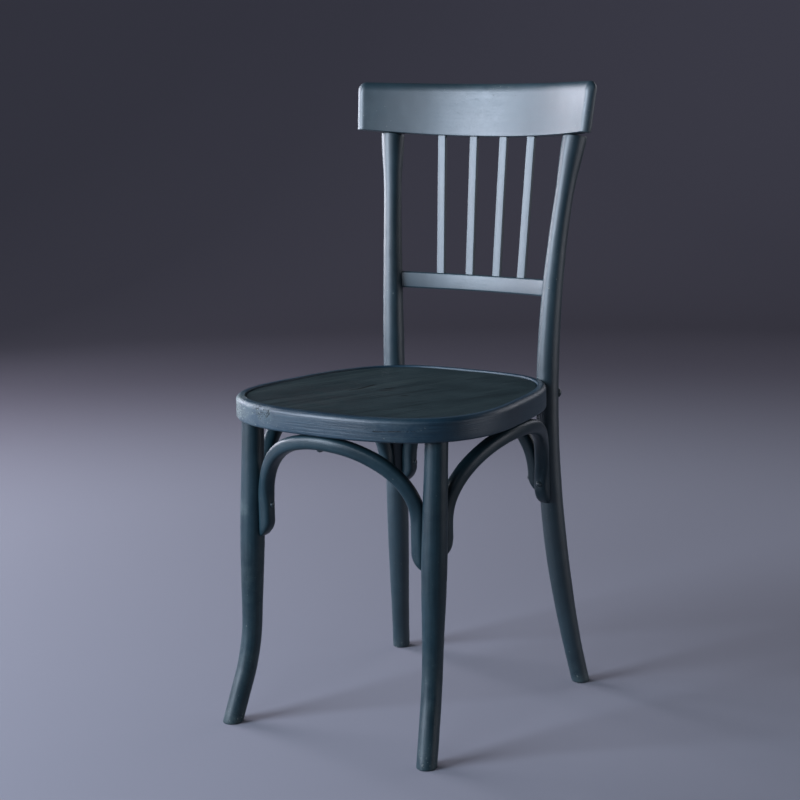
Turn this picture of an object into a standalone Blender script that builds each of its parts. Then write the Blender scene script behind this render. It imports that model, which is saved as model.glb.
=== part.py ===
"""Bentwood side chair, painted: a Blender 4.5 script that models every piece at its real size.

Metres, +Z up, feet on the plane Z = 0, the front towards -Y, centred on X = 0.
Pieces are plain closed solids; whatever lets into another piece has a socket cut for it.
"""
import math

import bmesh
import bpy
from mathutils import Vector

# Gap left wherever two pieces touch
GAP = 0.0003

# Seat ring: a bent rounded trapezoid, rebated on top for the panel
SEAT_HEIGHT = 0.460
SEAT_HALF_WIDTH = 0.198
SEAT_HALF_DEPTH = 0.1945
SEAT_TAPER = 0.15
SEAT_FRONT_SQUARENESS = 2.6
SEAT_BACK_SQUARENESS = 3.3
RING_HEIGHT = 0.032
RING_WIDTH = 0.038
RING_TOP_ROUND = 0.007
RING_BOTTOM_ROUND = 0.003
RIM_WIDTH = 0.013
NOTCH_REACH = 0.120
OUTLINE_POINTS = 80

# Seat panel, lying in the rebate a little below the rim
PANEL_THICKNESS = 0.006
PANEL_RECESS = 0.002
PANEL_EDGE_CHAMFER = 0.0006

# Front legs: straight, then bent forward at the ankle like a sabre
FRONT_TOP_SPREAD = 0.154
FRONT_TOP_FORWARD = 0.1325
FRONT_ANKLE_SPREAD = 0.1537
FRONT_ANKLE_FORWARD = 0.1532
FRONT_ANKLE_HEIGHT = 0.102
FRONT_FOOT_SPREAD = 0.1657
FRONT_FOOT_FORWARD = 0.1874
FRONT_BEND_RADIUS = 0.30
FRONT_TOP_RADIUS = 0.0157
FRONT_CALF_RADIUS = 0.0175
FRONT_CALF_HEIGHT = 0.275
FRONT_SHIN_RADIUS = 0.0142
FRONT_SHIN_HEIGHT = 0.115
FRONT_FOOT_RADIUS = 0.0141
FRONT_TENON_RADIUS = 0.0095
FRONT_TENON_LENGTH = 0.018

# Rear legs: one long bow each, foot to crest, nearest the seat at the waist
REAR_WAIST_HEIGHT = 0.410
REAR_WAIST_SPREAD = 0.1342
REAR_WAIST_BACK = 0.1790
REAR_FOOT_SPREAD = 0.1625
REAR_FOOT_BACK = 0.2198
REAR_TOP_HEIGHT = 0.800
REAR_TOP_SPREAD = 0.1572
REAR_TOP_BACK = 0.2225
REAR_FOOT_RADIUS = 0.0132
REAR_CALF_RADIUS = 0.0166
REAR_CALF_HEIGHT = 0.240
REAR_SEAT_RADIUS = 0.0160
REAR_NECK_RADIUS = 0.0133
REAR_NECK_HEIGHT = 0.715
REAR_HEAD_RADIUS = 0.0173
REAR_TENON_RADIUS = 0.0040
REAR_TENON_FORWARD = 0.0115
REAR_TENON_LENGTH = 0.030
FOOT_CHAMFER = 0.002
LEG_SIDES = 16
LEG_STEP = 0.033

# Crest rail: a curved board on top of the rear legs, leaning back
CREST_HEIGHT = 0.079
CREST_END_DROP = 0.0075
CREST_THICKNESS = 0.016
CREST_HALF_LENGTH = 0.197
CREST_END_SPLAY = 0.085
CREST_ARC_RADIUS = 0.360
CREST_LEAN = math.radians(12.0)
CREST_FORWARD = 0.0131
CREST_TOP_ROUND = 0.015
CREST_FRONT_ROUND = 0.010
CREST_BACK_ROUND = 0.005
CREST_CORNER_RADIUS = 0.013
CREST_ARRIS = 0.0012

# Cross rail between the rear legs, and the slats between the two rails
RAIL_HEIGHT = 0.0245
RAIL_THICKNESS = 0.012
RAIL_ARC_RADIUS = 0.330
RAIL_BOTTOM_HEIGHT = 0.574
RAIL_LEAN = math.radians(6.0)
RAIL_FORWARD = -0.004
RAIL_HOUSING = 0.007
RAIL_EDGE_ROUND = 0.003
SLAT_COUNT = 4
SLAT_WIDTH = 0.0135
SLAT_THICKNESS = 0.006
SLAT_TOP_PITCH = 0.0515
SLAT_BOTTOM_PITCH = 0.0467
SLAT_EDGE_ROUND = 0.0012
SLAT_TOP_TENON = 0.012
SLAT_BOTTOM_TENON = 0.010

# Braces: four bent arches, screwed up to the ring and sideways to the legs
BRACE_THICKNESS = 0.0205
BRACE_DEPTH = 0.021
BRACE_FRONT_LEFT_TOE = 0.2635
BRACE_FRONT_RIGHT_TOE = 0.252
BRACE_RIGHT_FRONT_TOE = 0.271
BRACE_RIGHT_REAR_TOE = 0.279
BRACE_REAR_RIGHT_TOE = 0.290
BRACE_REAR_LEFT_TOE = 0.279
BRACE_LEFT_REAR_TOE = 0.288
BRACE_LEFT_FRONT_TOE = 0.279
BRACE_SPRING_HEIGHT = 0.312
BRACE_REAR_SPRING_HEIGHT = 0.312
BRACE_TWIST_HEIGHT = 0.030
BRACE_ARCH_SQUARENESS = 2.1
BRACE_SADDLE = 0.0025
BRACE_FRONT_BOW = 0.041
BRACE_SIDE_BOW = 0.038
BRACE_REAR_BOW = -0.006
BRACE_TOE_LENGTH = 0.022
BRACE_TOE_THICKNESS = 0.003
BRACE_TOE_FULLNESS = 1.5
BRACE_TIP_LENGTH = 0.012
BRACE_TIP_DEPTH = 0.011
BRACE_SQUARENESS = 2.8
BRACE_SIDES = 10

# Seat bolts, each through a rear leg and the ring
BOLT_DROP = 0.023
BOLT_RADIUS = 0.0035
BOLT_HEAD_RADIUS = 0.0075
BOLT_HEAD_HEIGHT = 0.0048
WASHER_RADIUS = 0.0078
WASHER_THICKNESS = 0.0014
NUT_RADIUS = 0.0068
NUT_HEIGHT = 0.0055
BOLT_PROJECTION = 0.0025
BOLT_SPOTFACE = 0.0008
WASHER_SPOTFACE = 0.0035
NUT_SIDES = 18

# Wood screws of the braces
SCREW_RADIUS = 0.0020
SCREW_HEAD_RADIUS = 0.0042
SCREW_HEAD_HEIGHT = 0.0022
SCREW_SLOT_WIDTH = 0.0011
SCREW_SLOT_DEPTH = 0.0010
SCREW_BITE = 0.011
END_SCREW_HEIGHT = 0.310
ROUND_SIDES = 10

# Finish of the pieces: linear colour, roughness, metallic
SEAT_PAINT = ((0.012, 0.034, 0.043, 1.0), 0.42, 0.0)
LEG_PAINT = ((0.012, 0.040, 0.050, 1.0), 0.38, 0.0)
BACK_PAINT = ((0.014, 0.042, 0.054, 1.0), 0.34, 0.0)
PAINTED_STEEL = ((0.014, 0.036, 0.044, 1.0), 0.40, 0.3)

UP = Vector((0.0, 0.0, 1.0))
SIDES = (("left", -1.0), ("right", 1.0))


def clear_scene():
    """Empty the open scene."""
    for item in list(bpy.data.objects):
        bpy.data.objects.remove(item, do_unlink=True)


def paint(name, finish):
    """Return the named material, made on first use."""
    found = bpy.data.materials.get(name)
    if found:
        return found
    colour, roughness, metallic = finish
    made = bpy.data.materials.new(name)
    made.use_nodes = True
    shader = made.node_tree.nodes["Principled BSDF"]
    shader.inputs["Base Color"].default_value = colour
    shader.inputs["Roughness"].default_value = roughness
    shader.inputs["Metallic"].default_value = metallic
    made.diffuse_color = colour
    return made


def finish_object(name, mesh_maker, material, root, smooth_angle=40.0):
    """Turn a bmesh into a named object with outward faces, hung under the root empty."""
    bmesh.ops.recalc_face_normals(mesh_maker, faces=mesh_maker.faces[:])
    mesh = bpy.data.meshes.new(name)
    mesh_maker.to_mesh(mesh)
    mesh_maker.free()
    if material:
        mesh.materials.append(material)
    made = bpy.data.objects.new(name, mesh)
    bpy.context.collection.objects.link(made)
    made.parent = root
    mesh.shade_smooth()
    mesh.set_sharp_from_angle(angle=math.radians(smooth_angle))
    return made


def add_loft(mesh_maker, sections, closed=False):
    """Skin equal-length loops of points; open lofts get a flat face at each end."""
    loops = [[mesh_maker.verts.new(point) for point in section] for section in sections]
    pairs = list(zip(loops, loops[1:]))
    if closed:
        pairs.append((loops[-1], loops[0]))
    for low, high in pairs:
        for index in range(len(low)):
            following = (index + 1) % len(low)
            corners = (low[index], low[following], high[following], high[index])
            mesh_maker.faces.new(corners)
    if not closed:
        mesh_maker.faces.new(loops[0][::-1])
        mesh_maker.faces.new(loops[-1])


def add_turned(mesh_maker, base, axis, profile, sides=ROUND_SIDES):
    """Add a solid turned about an axis, from (distance, radius) pairs."""
    across = axis.orthogonal().normalized()
    along = axis.normalized()
    third = along.cross(across)
    sections = []
    for distance, radius in profile:
        centre = base + along * distance
        sections.append([
            centre + (across * math.cos(turn) + third * math.sin(turn)) * radius
            for turn in (math.tau * step / sides for step in range(sides))
        ])
    add_loft(mesh_maker, sections)


def add_block(mesh_maker, centre, across, along, depth, sizes):
    """Add a box from its centre, three unit axes and three full sizes."""
    half_a, half_b, half_c = (size / 2 for size in sizes)
    sections = []
    for level in (-half_c, half_c):
        sections.append([
            centre + across * (sign_a * half_a) + along * (sign_b * half_b) + depth * level
            for sign_a, sign_b in ((-1, -1), (1, -1), (1, 1), (-1, 1))
        ])
    add_loft(mesh_maker, sections)


def cut(target, name, cutter_maker, root):
    """Subtract the cutter's shells from the target with a Boolean modifier."""
    cutter = finish_object(name, cutter_maker, None, root)
    cutter.display_type = "WIRE"
    cutter.hide_render = True
    modifier = target.modifiers.new(name, "BOOLEAN")
    modifier.operation = "DIFFERENCE"
    modifier.solver = "EXACT"
    modifier.object = cutter


def eased(low, high, share):
    """Blend two values with a level start and end."""
    share = min(max(share, 0.0), 1.0)
    return low + (high - low) * (1.0 - math.cos(math.pi * share)) / 2.0


def radius_at(height, stations):
    """Radius of a shaved leg at a height, from (height, radius) stations."""
    for (low, low_radius), (high, high_radius) in zip(stations, stations[1:]):
        if height <= high:
            return eased(low_radius, high_radius, (height - low) / (high - low))
    return stations[-1][1]


def round_section(centre, tangent, radius, flat=None):
    """A circle of points across a path, slid along the path onto a flat plane if one is given."""
    across = Vector((1.0, 0.0, 0.0))
    across = (across - tangent * across.dot(tangent)).normalized()
    third = tangent.cross(across)
    points = []
    for step in range(LEG_SIDES):
        turn = math.tau * step / LEG_SIDES
        point = centre + (across * math.cos(turn) + third * math.sin(turn)) * radius
        if flat:
            origin, normal = flat
            point -= tangent * ((point - origin).dot(normal) / tangent.dot(normal))
        points.append(point)
    return points


def rounded_rectangle(half_width, half_height, radius, steps=2):
    """Corner-rounded rectangle as (across, up) pairs, anticlockwise."""
    pairs = []
    corners = ((1, 1, 0), (-1, 1, 1), (-1, -1, 2), (1, -1, 3))
    for sign_x, sign_y, quarter in corners:
        for step in range(steps + 1):
            turn = math.pi / 2 * (quarter + step / steps)
            pairs.append((
                sign_x * (half_width - radius) + radius * math.cos(turn),
                sign_y * (half_height - radius) + radius * math.sin(turn),
            ))
    return pairs


# Seat

def seat_curve(turn):
    """Outer seat outline at a parameter angle, as a flat vector."""
    sine, cosine = math.sin(turn), math.cos(turn)
    power = 2.0 / (SEAT_FRONT_SQUARENESS if sine < 0 else SEAT_BACK_SQUARENESS)
    along = math.copysign(abs(sine) ** power, sine)
    across = math.copysign(abs(cosine) ** power, cosine)
    half_width = SEAT_HALF_WIDTH * (1.0 - SEAT_TAPER * along)
    return Vector((half_width * across, SEAT_HALF_DEPTH * along, 0.0))


def seat_outline(count):
    """The outline as evenly spaced (point, outward normal) pairs."""
    fine = [seat_curve(math.tau * step / 2000) for step in range(2000)]
    lengths = [0.0]
    for start, end in zip(fine, fine[1:] + fine[:1]):
        lengths.append(lengths[-1] + (end - start).length)
    fine.append(fine[0])
    points = []
    index = 0
    for step in range(count):
        wanted = lengths[-1] * step / count
        while lengths[index + 1] < wanted:
            index += 1
        share = (wanted - lengths[index]) / (lengths[index + 1] - lengths[index])
        points.append(fine[index].lerp(fine[index + 1], share))
    pairs = []
    for step, point in enumerate(points):
        chord = points[(step + 1) % count] - points[step - 1]
        pairs.append((point, chord.cross(UP).normalized()))
    return pairs


def seat_loop(outline, inset, height):
    """The outline moved inwards and lifted to a height."""
    return [point - normal * inset + UP * height for point, normal in outline]


def nearest_on_outline(place):
    """Closest outline point to a place, with its outward normal."""
    flat_place = Vector((place.x, place.y, 0.0))
    return min(seat_outline(720), key=lambda pair: (pair[0] - flat_place).length)


def ring_section():
    """Section of the ring as (inset, height) pairs, from the foot of the outer face round."""
    low = SEAT_HEIGHT - RING_HEIGHT
    ledge = SEAT_HEIGHT - PANEL_RECESS - PANEL_THICKNESS - GAP
    pairs = []
    for step in range(3):
        turn = math.pi / 2 * step / 2
        pairs.append((
            RING_BOTTOM_ROUND * (1 - math.sin(turn)),
            low + RING_BOTTOM_ROUND * (1 - math.cos(turn)),
        ))
    for step in range(5):
        turn = math.pi / 2 * step / 4
        pairs.append((
            RING_TOP_ROUND * (1 - math.cos(turn)),
            SEAT_HEIGHT - RING_TOP_ROUND * (1 - math.sin(turn)),
        ))
    pairs += [
        (RIM_WIDTH, SEAT_HEIGHT),
        (RIM_WIDTH, ledge),
        (RING_WIDTH, ledge),
        (RING_WIDTH, low),
    ]
    return pairs


def make_seat_ring(root):
    """The bent ring, with notches for the rear legs and bores for all that fastens to it."""
    outline = seat_outline(OUTLINE_POINTS)
    maker = bmesh.new()
    add_loft(maker, [seat_loop(outline, *pair) for pair in ring_section()], closed=True)
    ring = finish_object("seat_ring", maker, paint("seat_paint", SEAT_PAINT), root)

    notches = bmesh.new()
    for _, side in SIDES:
        between = (SEAT_HEIGHT - NOTCH_REACH, SEAT_HEIGHT + NOTCH_REACH)
        add_loft(notches, rear_leg_sections(side, GAP, between))
    cut(ring, "cut_ring_notches", notches, root)

    sockets = bmesh.new()
    low = SEAT_HEIGHT - RING_HEIGHT
    for _, side in SIDES:
        base, axis = front_leg_top(side)
        profile = (
            (-0.01, FRONT_TENON_RADIUS + GAP),
            (FRONT_TENON_LENGTH + 2 * GAP, FRONT_TENON_RADIUS + GAP),
        )
        add_turned(sockets, base, axis, profile, LEG_SIDES)
        bolt_base, bolt_axis = bolt_line(side)
        bore = ((-0.01, BOLT_RADIUS + GAP), (0.12, BOLT_RADIUS + GAP))
        add_turned(sockets, bolt_base, bolt_axis, bore)
    cut(ring, "cut_ring_sockets", sockets, root)

    seats = bmesh.new()
    for _, side in SIDES:
        bolt_base, bolt_axis = bolt_line(side)
        start = bolt_seat_distance(side)
        faced = ((start, WASHER_RADIUS + 2 * GAP), (start + 0.04, WASHER_RADIUS + 2 * GAP))
        add_turned(seats, bolt_base, bolt_axis, faced)
    for centre in brace_top_points():
        bite = ((-0.01, SCREW_RADIUS + GAP), (SCREW_BITE + GAP, SCREW_RADIUS + GAP))
        add_turned(seats, Vector((centre.x, centre.y, low)), UP, bite)
    cut(ring, "cut_ring_bores", seats, root)


def make_seat_panel(root):
    """The plywood panel, resting on the ring's ledge."""
    outline = seat_outline(OUTLINE_POINTS)
    top = SEAT_HEIGHT - PANEL_RECESS
    edge = RIM_WIDTH + GAP
    levels = (
        (edge, top - PANEL_THICKNESS),
        (edge, top - PANEL_EDGE_CHAMFER),
        (edge + PANEL_EDGE_CHAMFER, top),
    )
    maker = bmesh.new()
    add_loft(maker, [seat_loop(outline, *level) for level in levels])
    finish_object("seat_panel", maker, paint("panel_paint", SEAT_PAINT), root)


# Front legs

def front_leg_path(side):
    """Centre points of a front leg from foot to shoulder, each with its direction."""
    top_height = SEAT_HEIGHT - RING_HEIGHT - GAP
    foot = Vector((side * FRONT_FOOT_SPREAD, -FRONT_FOOT_FORWARD, 0.0))
    ankle = Vector((side * FRONT_ANKLE_SPREAD, -FRONT_ANKLE_FORWARD, FRONT_ANKLE_HEIGHT))
    top = Vector((side * FRONT_TOP_SPREAD, -FRONT_TOP_FORWARD, top_height))
    lower = (ankle - foot).normalized()
    upper = (top - ankle).normalized()
    bend = lower.angle(upper)
    reach = FRONT_BEND_RADIUS * math.tan(bend / 2)
    start = ankle - lower * reach
    finish = ankle + upper * reach
    inward = (upper - lower * upper.dot(lower)).normalized()
    path = [(foot.lerp(start, share), lower) for share in (0.0, 0.33, 0.67)]
    for step in range(8):
        turn = bend * step / 7
        place = start + lower * (FRONT_BEND_RADIUS * math.sin(turn))
        place += inward * (FRONT_BEND_RADIUS * (1 - math.cos(turn)))
        path.append((place, lower * math.cos(turn) + inward * math.sin(turn)))
    path += [(finish.lerp(top, step / 11), upper) for step in range(1, 12)]
    return path


def front_leg_sections(side, extra=0.0):
    """Round sections of a front leg from foot to shoulder."""
    stations = (
        (0.0, FRONT_FOOT_RADIUS),
        (FRONT_SHIN_HEIGHT, FRONT_SHIN_RADIUS),
        (FRONT_CALF_HEIGHT, FRONT_CALF_RADIUS),
        (SEAT_HEIGHT - RING_HEIGHT, FRONT_TOP_RADIUS),
    )
    path = front_leg_path(side)
    floor = (Vector((0.0, 0.0, 0.0)), UP)
    above_floor = (Vector((0.0, 0.0, FOOT_CHAMFER)), UP)
    shoulder = (path[-1][0], UP)
    foot, lower = path[0]
    sections = [
        round_section(foot, lower, FRONT_FOOT_RADIUS - FOOT_CHAMFER + extra, floor),
        round_section(foot, lower, FRONT_FOOT_RADIUS + extra, above_floor),
    ]
    for place, direction in path[1:-1]:
        sections.append(round_section(place, direction, radius_at(place.z, stations) + extra))
    place, direction = path[-1]
    sections.append(round_section(place, direction, FRONT_TOP_RADIUS + extra, shoulder))
    return sections


def front_leg_top(side):
    """Shoulder centre of a front leg and the direction of its tenon."""
    return front_leg_path(side)[-1]


def make_front_leg(name, side, root):
    """A front leg with its turned tenon, bored for the brace screws."""
    sections = front_leg_sections(side)
    base, axis = front_leg_top(side)
    shoulder = (base, UP)
    sections.append(round_section(base, axis, FRONT_TENON_RADIUS, shoulder))
    tip = base + axis * FRONT_TENON_LENGTH
    sections.append(round_section(tip, axis, FRONT_TENON_RADIUS))
    maker = bmesh.new()
    add_loft(maker, sections)
    leg = finish_object(f"front_leg_{name}", maker, paint("leg_paint", LEG_PAINT), root)
    cut_leg_screw_bores(leg, f"front_{name}", root)


# Rear legs

def rear_leg_point(side, height):
    """Centre of a rear leg at a height, and its direction there."""
    above = height > REAR_WAIST_HEIGHT
    end_spread = REAR_TOP_SPREAD if above else REAR_FOOT_SPREAD
    end_back = REAR_TOP_BACK if above else REAR_FOOT_BACK
    reach = REAR_TOP_HEIGHT - REAR_WAIST_HEIGHT if above else REAR_WAIST_HEIGHT
    share = (height - REAR_WAIST_HEIGHT) / reach
    spread = REAR_WAIST_SPREAD + (end_spread - REAR_WAIST_SPREAD) * share ** 2
    back = REAR_WAIST_BACK + (end_back - REAR_WAIST_BACK) * share ** 2
    direction = Vector((
        side * 2 * share * (end_spread - REAR_WAIST_SPREAD) / reach,
        2 * share * (end_back - REAR_WAIST_BACK) / reach,
        1.0,
    ))
    return Vector((side * spread, back, height)), direction.normalized()


def rear_leg_radius(height):
    """Shaved radius of a rear leg at a height."""
    return radius_at(height, (
        (0.0, REAR_FOOT_RADIUS),
        (REAR_CALF_HEIGHT, REAR_CALF_RADIUS),
        (SEAT_HEIGHT, REAR_SEAT_RADIUS),
        (REAR_NECK_HEIGHT, REAR_NECK_RADIUS),
        (REAR_TOP_HEIGHT, REAR_HEAD_RADIUS),
    ))


def rear_leg_sections(side, extra=0.0, between=None):
    """Round sections of a rear leg, of its whole height or between two heights."""
    low, high = between or (0.0, REAR_TOP_HEIGHT)
    steps = max(4, round((high - low) / LEG_STEP))
    sections = []
    for step in range(steps + 1):
        height = low + (high - low) * step / steps
        centre, direction = rear_leg_point(side, height)
        sections.append(round_section(centre, direction, rear_leg_radius(height) + extra))
    if between:
        return sections
    foot, lower = rear_leg_point(side, 0.0)
    floor = (Vector((0.0, 0.0, 0.0)), UP)
    above_floor = (Vector((0.0, 0.0, FOOT_CHAMFER)), UP)
    sections[:1] = [
        round_section(foot, lower, REAR_FOOT_RADIUS - FOOT_CHAMFER + extra, floor),
        round_section(foot, lower, REAR_FOOT_RADIUS + extra, above_floor),
    ]
    head, upper = rear_leg_point(side, REAR_TOP_HEIGHT)
    sections[-1] = round_section(head, upper, REAR_HEAD_RADIUS + extra, crest_underside())
    return sections


def make_rear_leg(name, side, root):
    """A rear leg from floor to crest, with its top tenon, rail housing and bores."""
    sections = rear_leg_sections(side)
    base, lean = crest_tenon(side)
    sections.append(round_section(base, lean, REAR_TENON_RADIUS, crest_underside()))
    sections.append(round_section(base + lean * REAR_TENON_LENGTH, lean, REAR_TENON_RADIUS))
    maker = bmesh.new()
    add_loft(maker, sections)
    leg = finish_object(f"rear_leg_{name}", maker, paint("post_paint", LEG_PAINT), root)

    housing = bmesh.new()
    add_loft(housing, rail_sections(extra=GAP))
    cut(leg, f"cut_rear_{name}_housing", housing, root)

    bore = bmesh.new()
    bolt_base, bolt_axis = bolt_line(side)
    start = -bolt_head_distance()
    add_turned(bore, bolt_base, bolt_axis, (
        (start - 0.01, BOLT_HEAD_RADIUS + GAP),
        (start, BOLT_HEAD_RADIUS + GAP),
        (start, BOLT_RADIUS + GAP),
        (0.04, BOLT_RADIUS + GAP),
    ))
    cut(leg, f"cut_rear_{name}_bolt", bore, root)
    cut_leg_screw_bores(leg, f"rear_{name}", root)


# Seat bolts

def bolt_line(side):
    """Centre of a rear leg at bolt height, and the bolt's direction into the seat."""
    centre, _ = rear_leg_point(side, SEAT_HEIGHT - BOLT_DROP)
    _, outward = nearest_on_outline(centre)
    return centre, -outward


def bolt_head_distance():
    """From the leg's centre out to the flat under the bolt head."""
    return REAR_SEAT_RADIUS - BOLT_SPOTFACE


def bolt_seat_distance(side):
    """From the leg's centre in to the washer's flat on the ring's inner wall."""
    centre, _ = rear_leg_point(side, SEAT_HEIGHT - BOLT_DROP)
    point, outward = nearest_on_outline(centre)
    standoff = (Vector((centre.x, centre.y, 0.0)) - point).dot(outward)
    return standoff + RING_WIDTH - WASHER_SPOTFACE


def make_seat_bolt(name, side, root):
    """A domed bolt through leg and ring, with its washer and hexagon nut."""
    base, axis = bolt_line(side)
    steel = paint("bolt_steel", PAINTED_STEEL)
    head = -bolt_head_distance() - GAP
    seat = bolt_seat_distance(side) + GAP
    end = seat + WASHER_THICKNESS + GAP + NUT_HEIGHT + BOLT_PROJECTION
    maker = bmesh.new()
    add_turned(maker, base, axis, (
        (head - BOLT_HEAD_HEIGHT, BOLT_HEAD_RADIUS * 0.35),
        (head - BOLT_HEAD_HEIGHT * 0.82, BOLT_HEAD_RADIUS * 0.7),
        (head - BOLT_HEAD_HEIGHT * 0.4, BOLT_HEAD_RADIUS * 0.95),
        (head, BOLT_HEAD_RADIUS),
        (head, BOLT_RADIUS),
        (end - BOLT_RADIUS * 0.2, BOLT_RADIUS),
        (end, BOLT_RADIUS * 0.8),
    ))
    finish_object(f"seat_bolt_{name}", maker, steel, root)

    washer = bmesh.new()
    add_threaded_ring(washer, base, axis, seat, WASHER_THICKNESS, round_reach)
    finish_object(f"seat_washer_{name}", washer, steel, root)

    nut = bmesh.new()
    nut_seat = seat + WASHER_THICKNESS + GAP
    add_threaded_ring(nut, base, axis, nut_seat, NUT_HEIGHT, hexagon_reach)
    finish_object(f"seat_nut_{name}", nut, steel, root, smooth_angle=25.0)


def round_reach(_):
    """Outer radius of the washer at any angle."""
    return WASHER_RADIUS


def hexagon_reach(turn):
    """Outer radius of the nut at an angle from one of its corners."""
    sixth = math.pi / 3
    return NUT_RADIUS * math.cos(sixth / 2) / math.cos(turn % sixth - sixth / 2)


def add_threaded_ring(maker, base, axis, start, length, reach_at):
    """Add a washer or nut round the bolt, its outside given by a function of the angle."""
    across = axis.orthogonal().normalized()
    third = axis.cross(across)
    loops = []
    for distance, outside in ((start, True), (start + length, True),
                              (start + length, False), (start, False)):
        loop = []
        for step in range(NUT_SIDES):
            turn = math.tau * step / NUT_SIDES
            reach = reach_at(turn) if outside else BOLT_RADIUS + GAP
            ray = across * math.cos(turn) + third * math.sin(turn)
            loop.append(base + axis * distance + ray * reach)
        loops.append(loop)
    add_loft(maker, loops, closed=True)


# Crest rail

def crest_up():
    """Direction up the leaning crest."""
    return Vector((0.0, math.sin(CREST_LEAN), math.cos(CREST_LEAN)))


def crest_back():
    """Direction square to the crest's lean, towards the back."""
    return Vector((0.0, math.cos(CREST_LEAN), -math.sin(CREST_LEAN)))


def crest_origin():
    """Middle of the line between the rear legs' tops, on the crest's underside."""
    return Vector((0.0, REAR_TOP_BACK, REAR_TOP_HEIGHT))


def crest_underside():
    """The plane that the rear legs' shoulders meet, a gap below the crest."""
    return crest_origin() - crest_up() * GAP, crest_up()


def crest_tenon(side):
    """Foot of a rear leg's tenon, within the crest's thickness, and its direction."""
    head, _ = rear_leg_point(side, REAR_TOP_HEIGHT)
    return head - crest_back() * REAR_TENON_FORWARD, crest_up()


def crest_arc(across):
    """How far back the crest's middle surface lies at a distance from the centre."""
    at_leg = math.sqrt(CREST_ARC_RADIUS ** 2 - REAR_TOP_SPREAD ** 2)
    here = math.sqrt(CREST_ARC_RADIUS ** 2 - across ** 2)
    return here - at_leg - CREST_FORWARD


def crest_section(distance, direction, inset):
    """Section of the crest at an arc position, given its distance from the end."""
    round_corner = max(CREST_CORNER_RADIUS - inset, 0.0)
    height = CREST_HEIGHT - CREST_END_DROP * distance ** 2 - CREST_CORNER_RADIUS
    height += math.sqrt(max(CREST_CORNER_RADIUS ** 2 - round_corner ** 2, 0.0))
    front_gone = max(CREST_FRONT_ROUND - inset, 0.0)
    back_gone = max(CREST_BACK_ROUND - inset, 0.0)
    front = -CREST_THICKNESS / 2 + CREST_FRONT_ROUND
    front -= math.sqrt(max(CREST_FRONT_ROUND ** 2 - front_gone ** 2, 0.0))
    back = CREST_THICKNESS / 2 - CREST_BACK_ROUND
    back += math.sqrt(max(CREST_BACK_ROUND ** 2 - back_gone ** 2, 0.0))
    crown = -CREST_THICKNESS / 2 + CREST_FRONT_ROUND
    arris = min(CREST_ARRIS, (back - front) / 4)
    outline = [(back - arris, 0.0), (front + arris, 0.0), (front, arris)]
    for step in range(6):
        turn = math.pi / 2 * step / 5
        outline.append((
            crown + (front - crown) * math.cos(turn),
            height - CREST_TOP_ROUND * (1 - math.sin(turn)),
        ))
    for step in range(1, 4):
        turn = math.pi / 2 * step / 3
        outline.append((
            crown + (back - crown) * math.sin(turn),
            height - CREST_TOP_ROUND * 0.6 * (1 - math.cos(turn)),
        ))
    outline.append((back, arris))
    base = crest_origin()
    across = CREST_ARC_RADIUS * math.sin(direction)
    depth = crest_arc(across)
    normal = Vector((math.sin(direction), 0.0, 0.0)) + crest_back() * math.cos(direction)
    tangent = Vector((math.cos(direction), 0.0, 0.0)) - crest_back() * math.sin(direction)
    points = []
    for through, up in outline:
        splay = up * CREST_END_SPLAY * distance
        point = base + Vector((across, 0.0, 0.0)) + crest_back() * depth
        points.append(point + normal * through + tangent * splay + crest_up() * up)
    return points


def crest_end_insets():
    """Distances from a crest end at which sections are needed for its rounding."""
    deepest = max(CREST_CORNER_RADIUS, CREST_FRONT_ROUND)
    return [deepest * (1 - math.cos(math.pi / 2 * step / 5)) for step in range(6)]


def make_crest_rail(root):
    """The curved board, rounded over in front, mortised for the slats and legs."""
    end_angle = math.asin(CREST_HALF_LENGTH / CREST_ARC_RADIUS)
    insets = crest_end_insets()
    insets[0] = CREST_BACK_ROUND * 0.04
    deepest = insets[-1] / CREST_ARC_RADIUS
    spans = 18
    angles = [(end_angle - inset / CREST_ARC_RADIUS, inset) for inset in insets]
    inner = [
        (-(end_angle - deepest) * (1 - 2 * step / spans), insets[-1])
        for step in range(1, spans)
    ]
    stations = [(-angle, inset) for angle, inset in angles] + inner + angles[::-1]
    maker = bmesh.new()
    sections = []
    for angle, inset in stations:
        sections.append(crest_section(angle / end_angle, angle, inset))
    add_loft(maker, sections)
    crest = finish_object("crest_rail", maker, paint("crest_paint", BACK_PAINT), root)

    sockets = bmesh.new()
    for _, side in SIDES:
        base, lean = crest_tenon(side)
        profile = (
            (-0.01, REAR_TENON_RADIUS + GAP),
            (REAR_TENON_LENGTH + 2 * GAP, REAR_TENON_RADIUS + GAP),
        )
        add_turned(sockets, base, lean, profile, LEG_SIDES)
    for index in range(SLAT_COUNT):
        add_loft(sockets, slat_sections(index, GAP))
    cut(crest, "cut_crest_sockets", sockets, root)


# Cross rail and slats

def rail_frame():
    """Origin, up and back directions of the cross rail."""
    centre, _ = rear_leg_point(1.0, RAIL_BOTTOM_HEIGHT)
    up = Vector((0.0, math.sin(RAIL_LEAN), math.cos(RAIL_LEAN)))
    back = Vector((0.0, math.cos(RAIL_LEAN), -math.sin(RAIL_LEAN)))
    return Vector((0.0, centre.y, RAIL_BOTTOM_HEIGHT)), up, back, centre.x


def rail_arc(across):
    """How far back the rail's middle surface lies at a distance from the centre."""
    spread = rail_frame()[3]
    at_leg = math.sqrt(RAIL_ARC_RADIUS ** 2 - spread ** 2)
    return math.sqrt(RAIL_ARC_RADIUS ** 2 - across ** 2) - at_leg - RAIL_FORWARD


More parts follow.
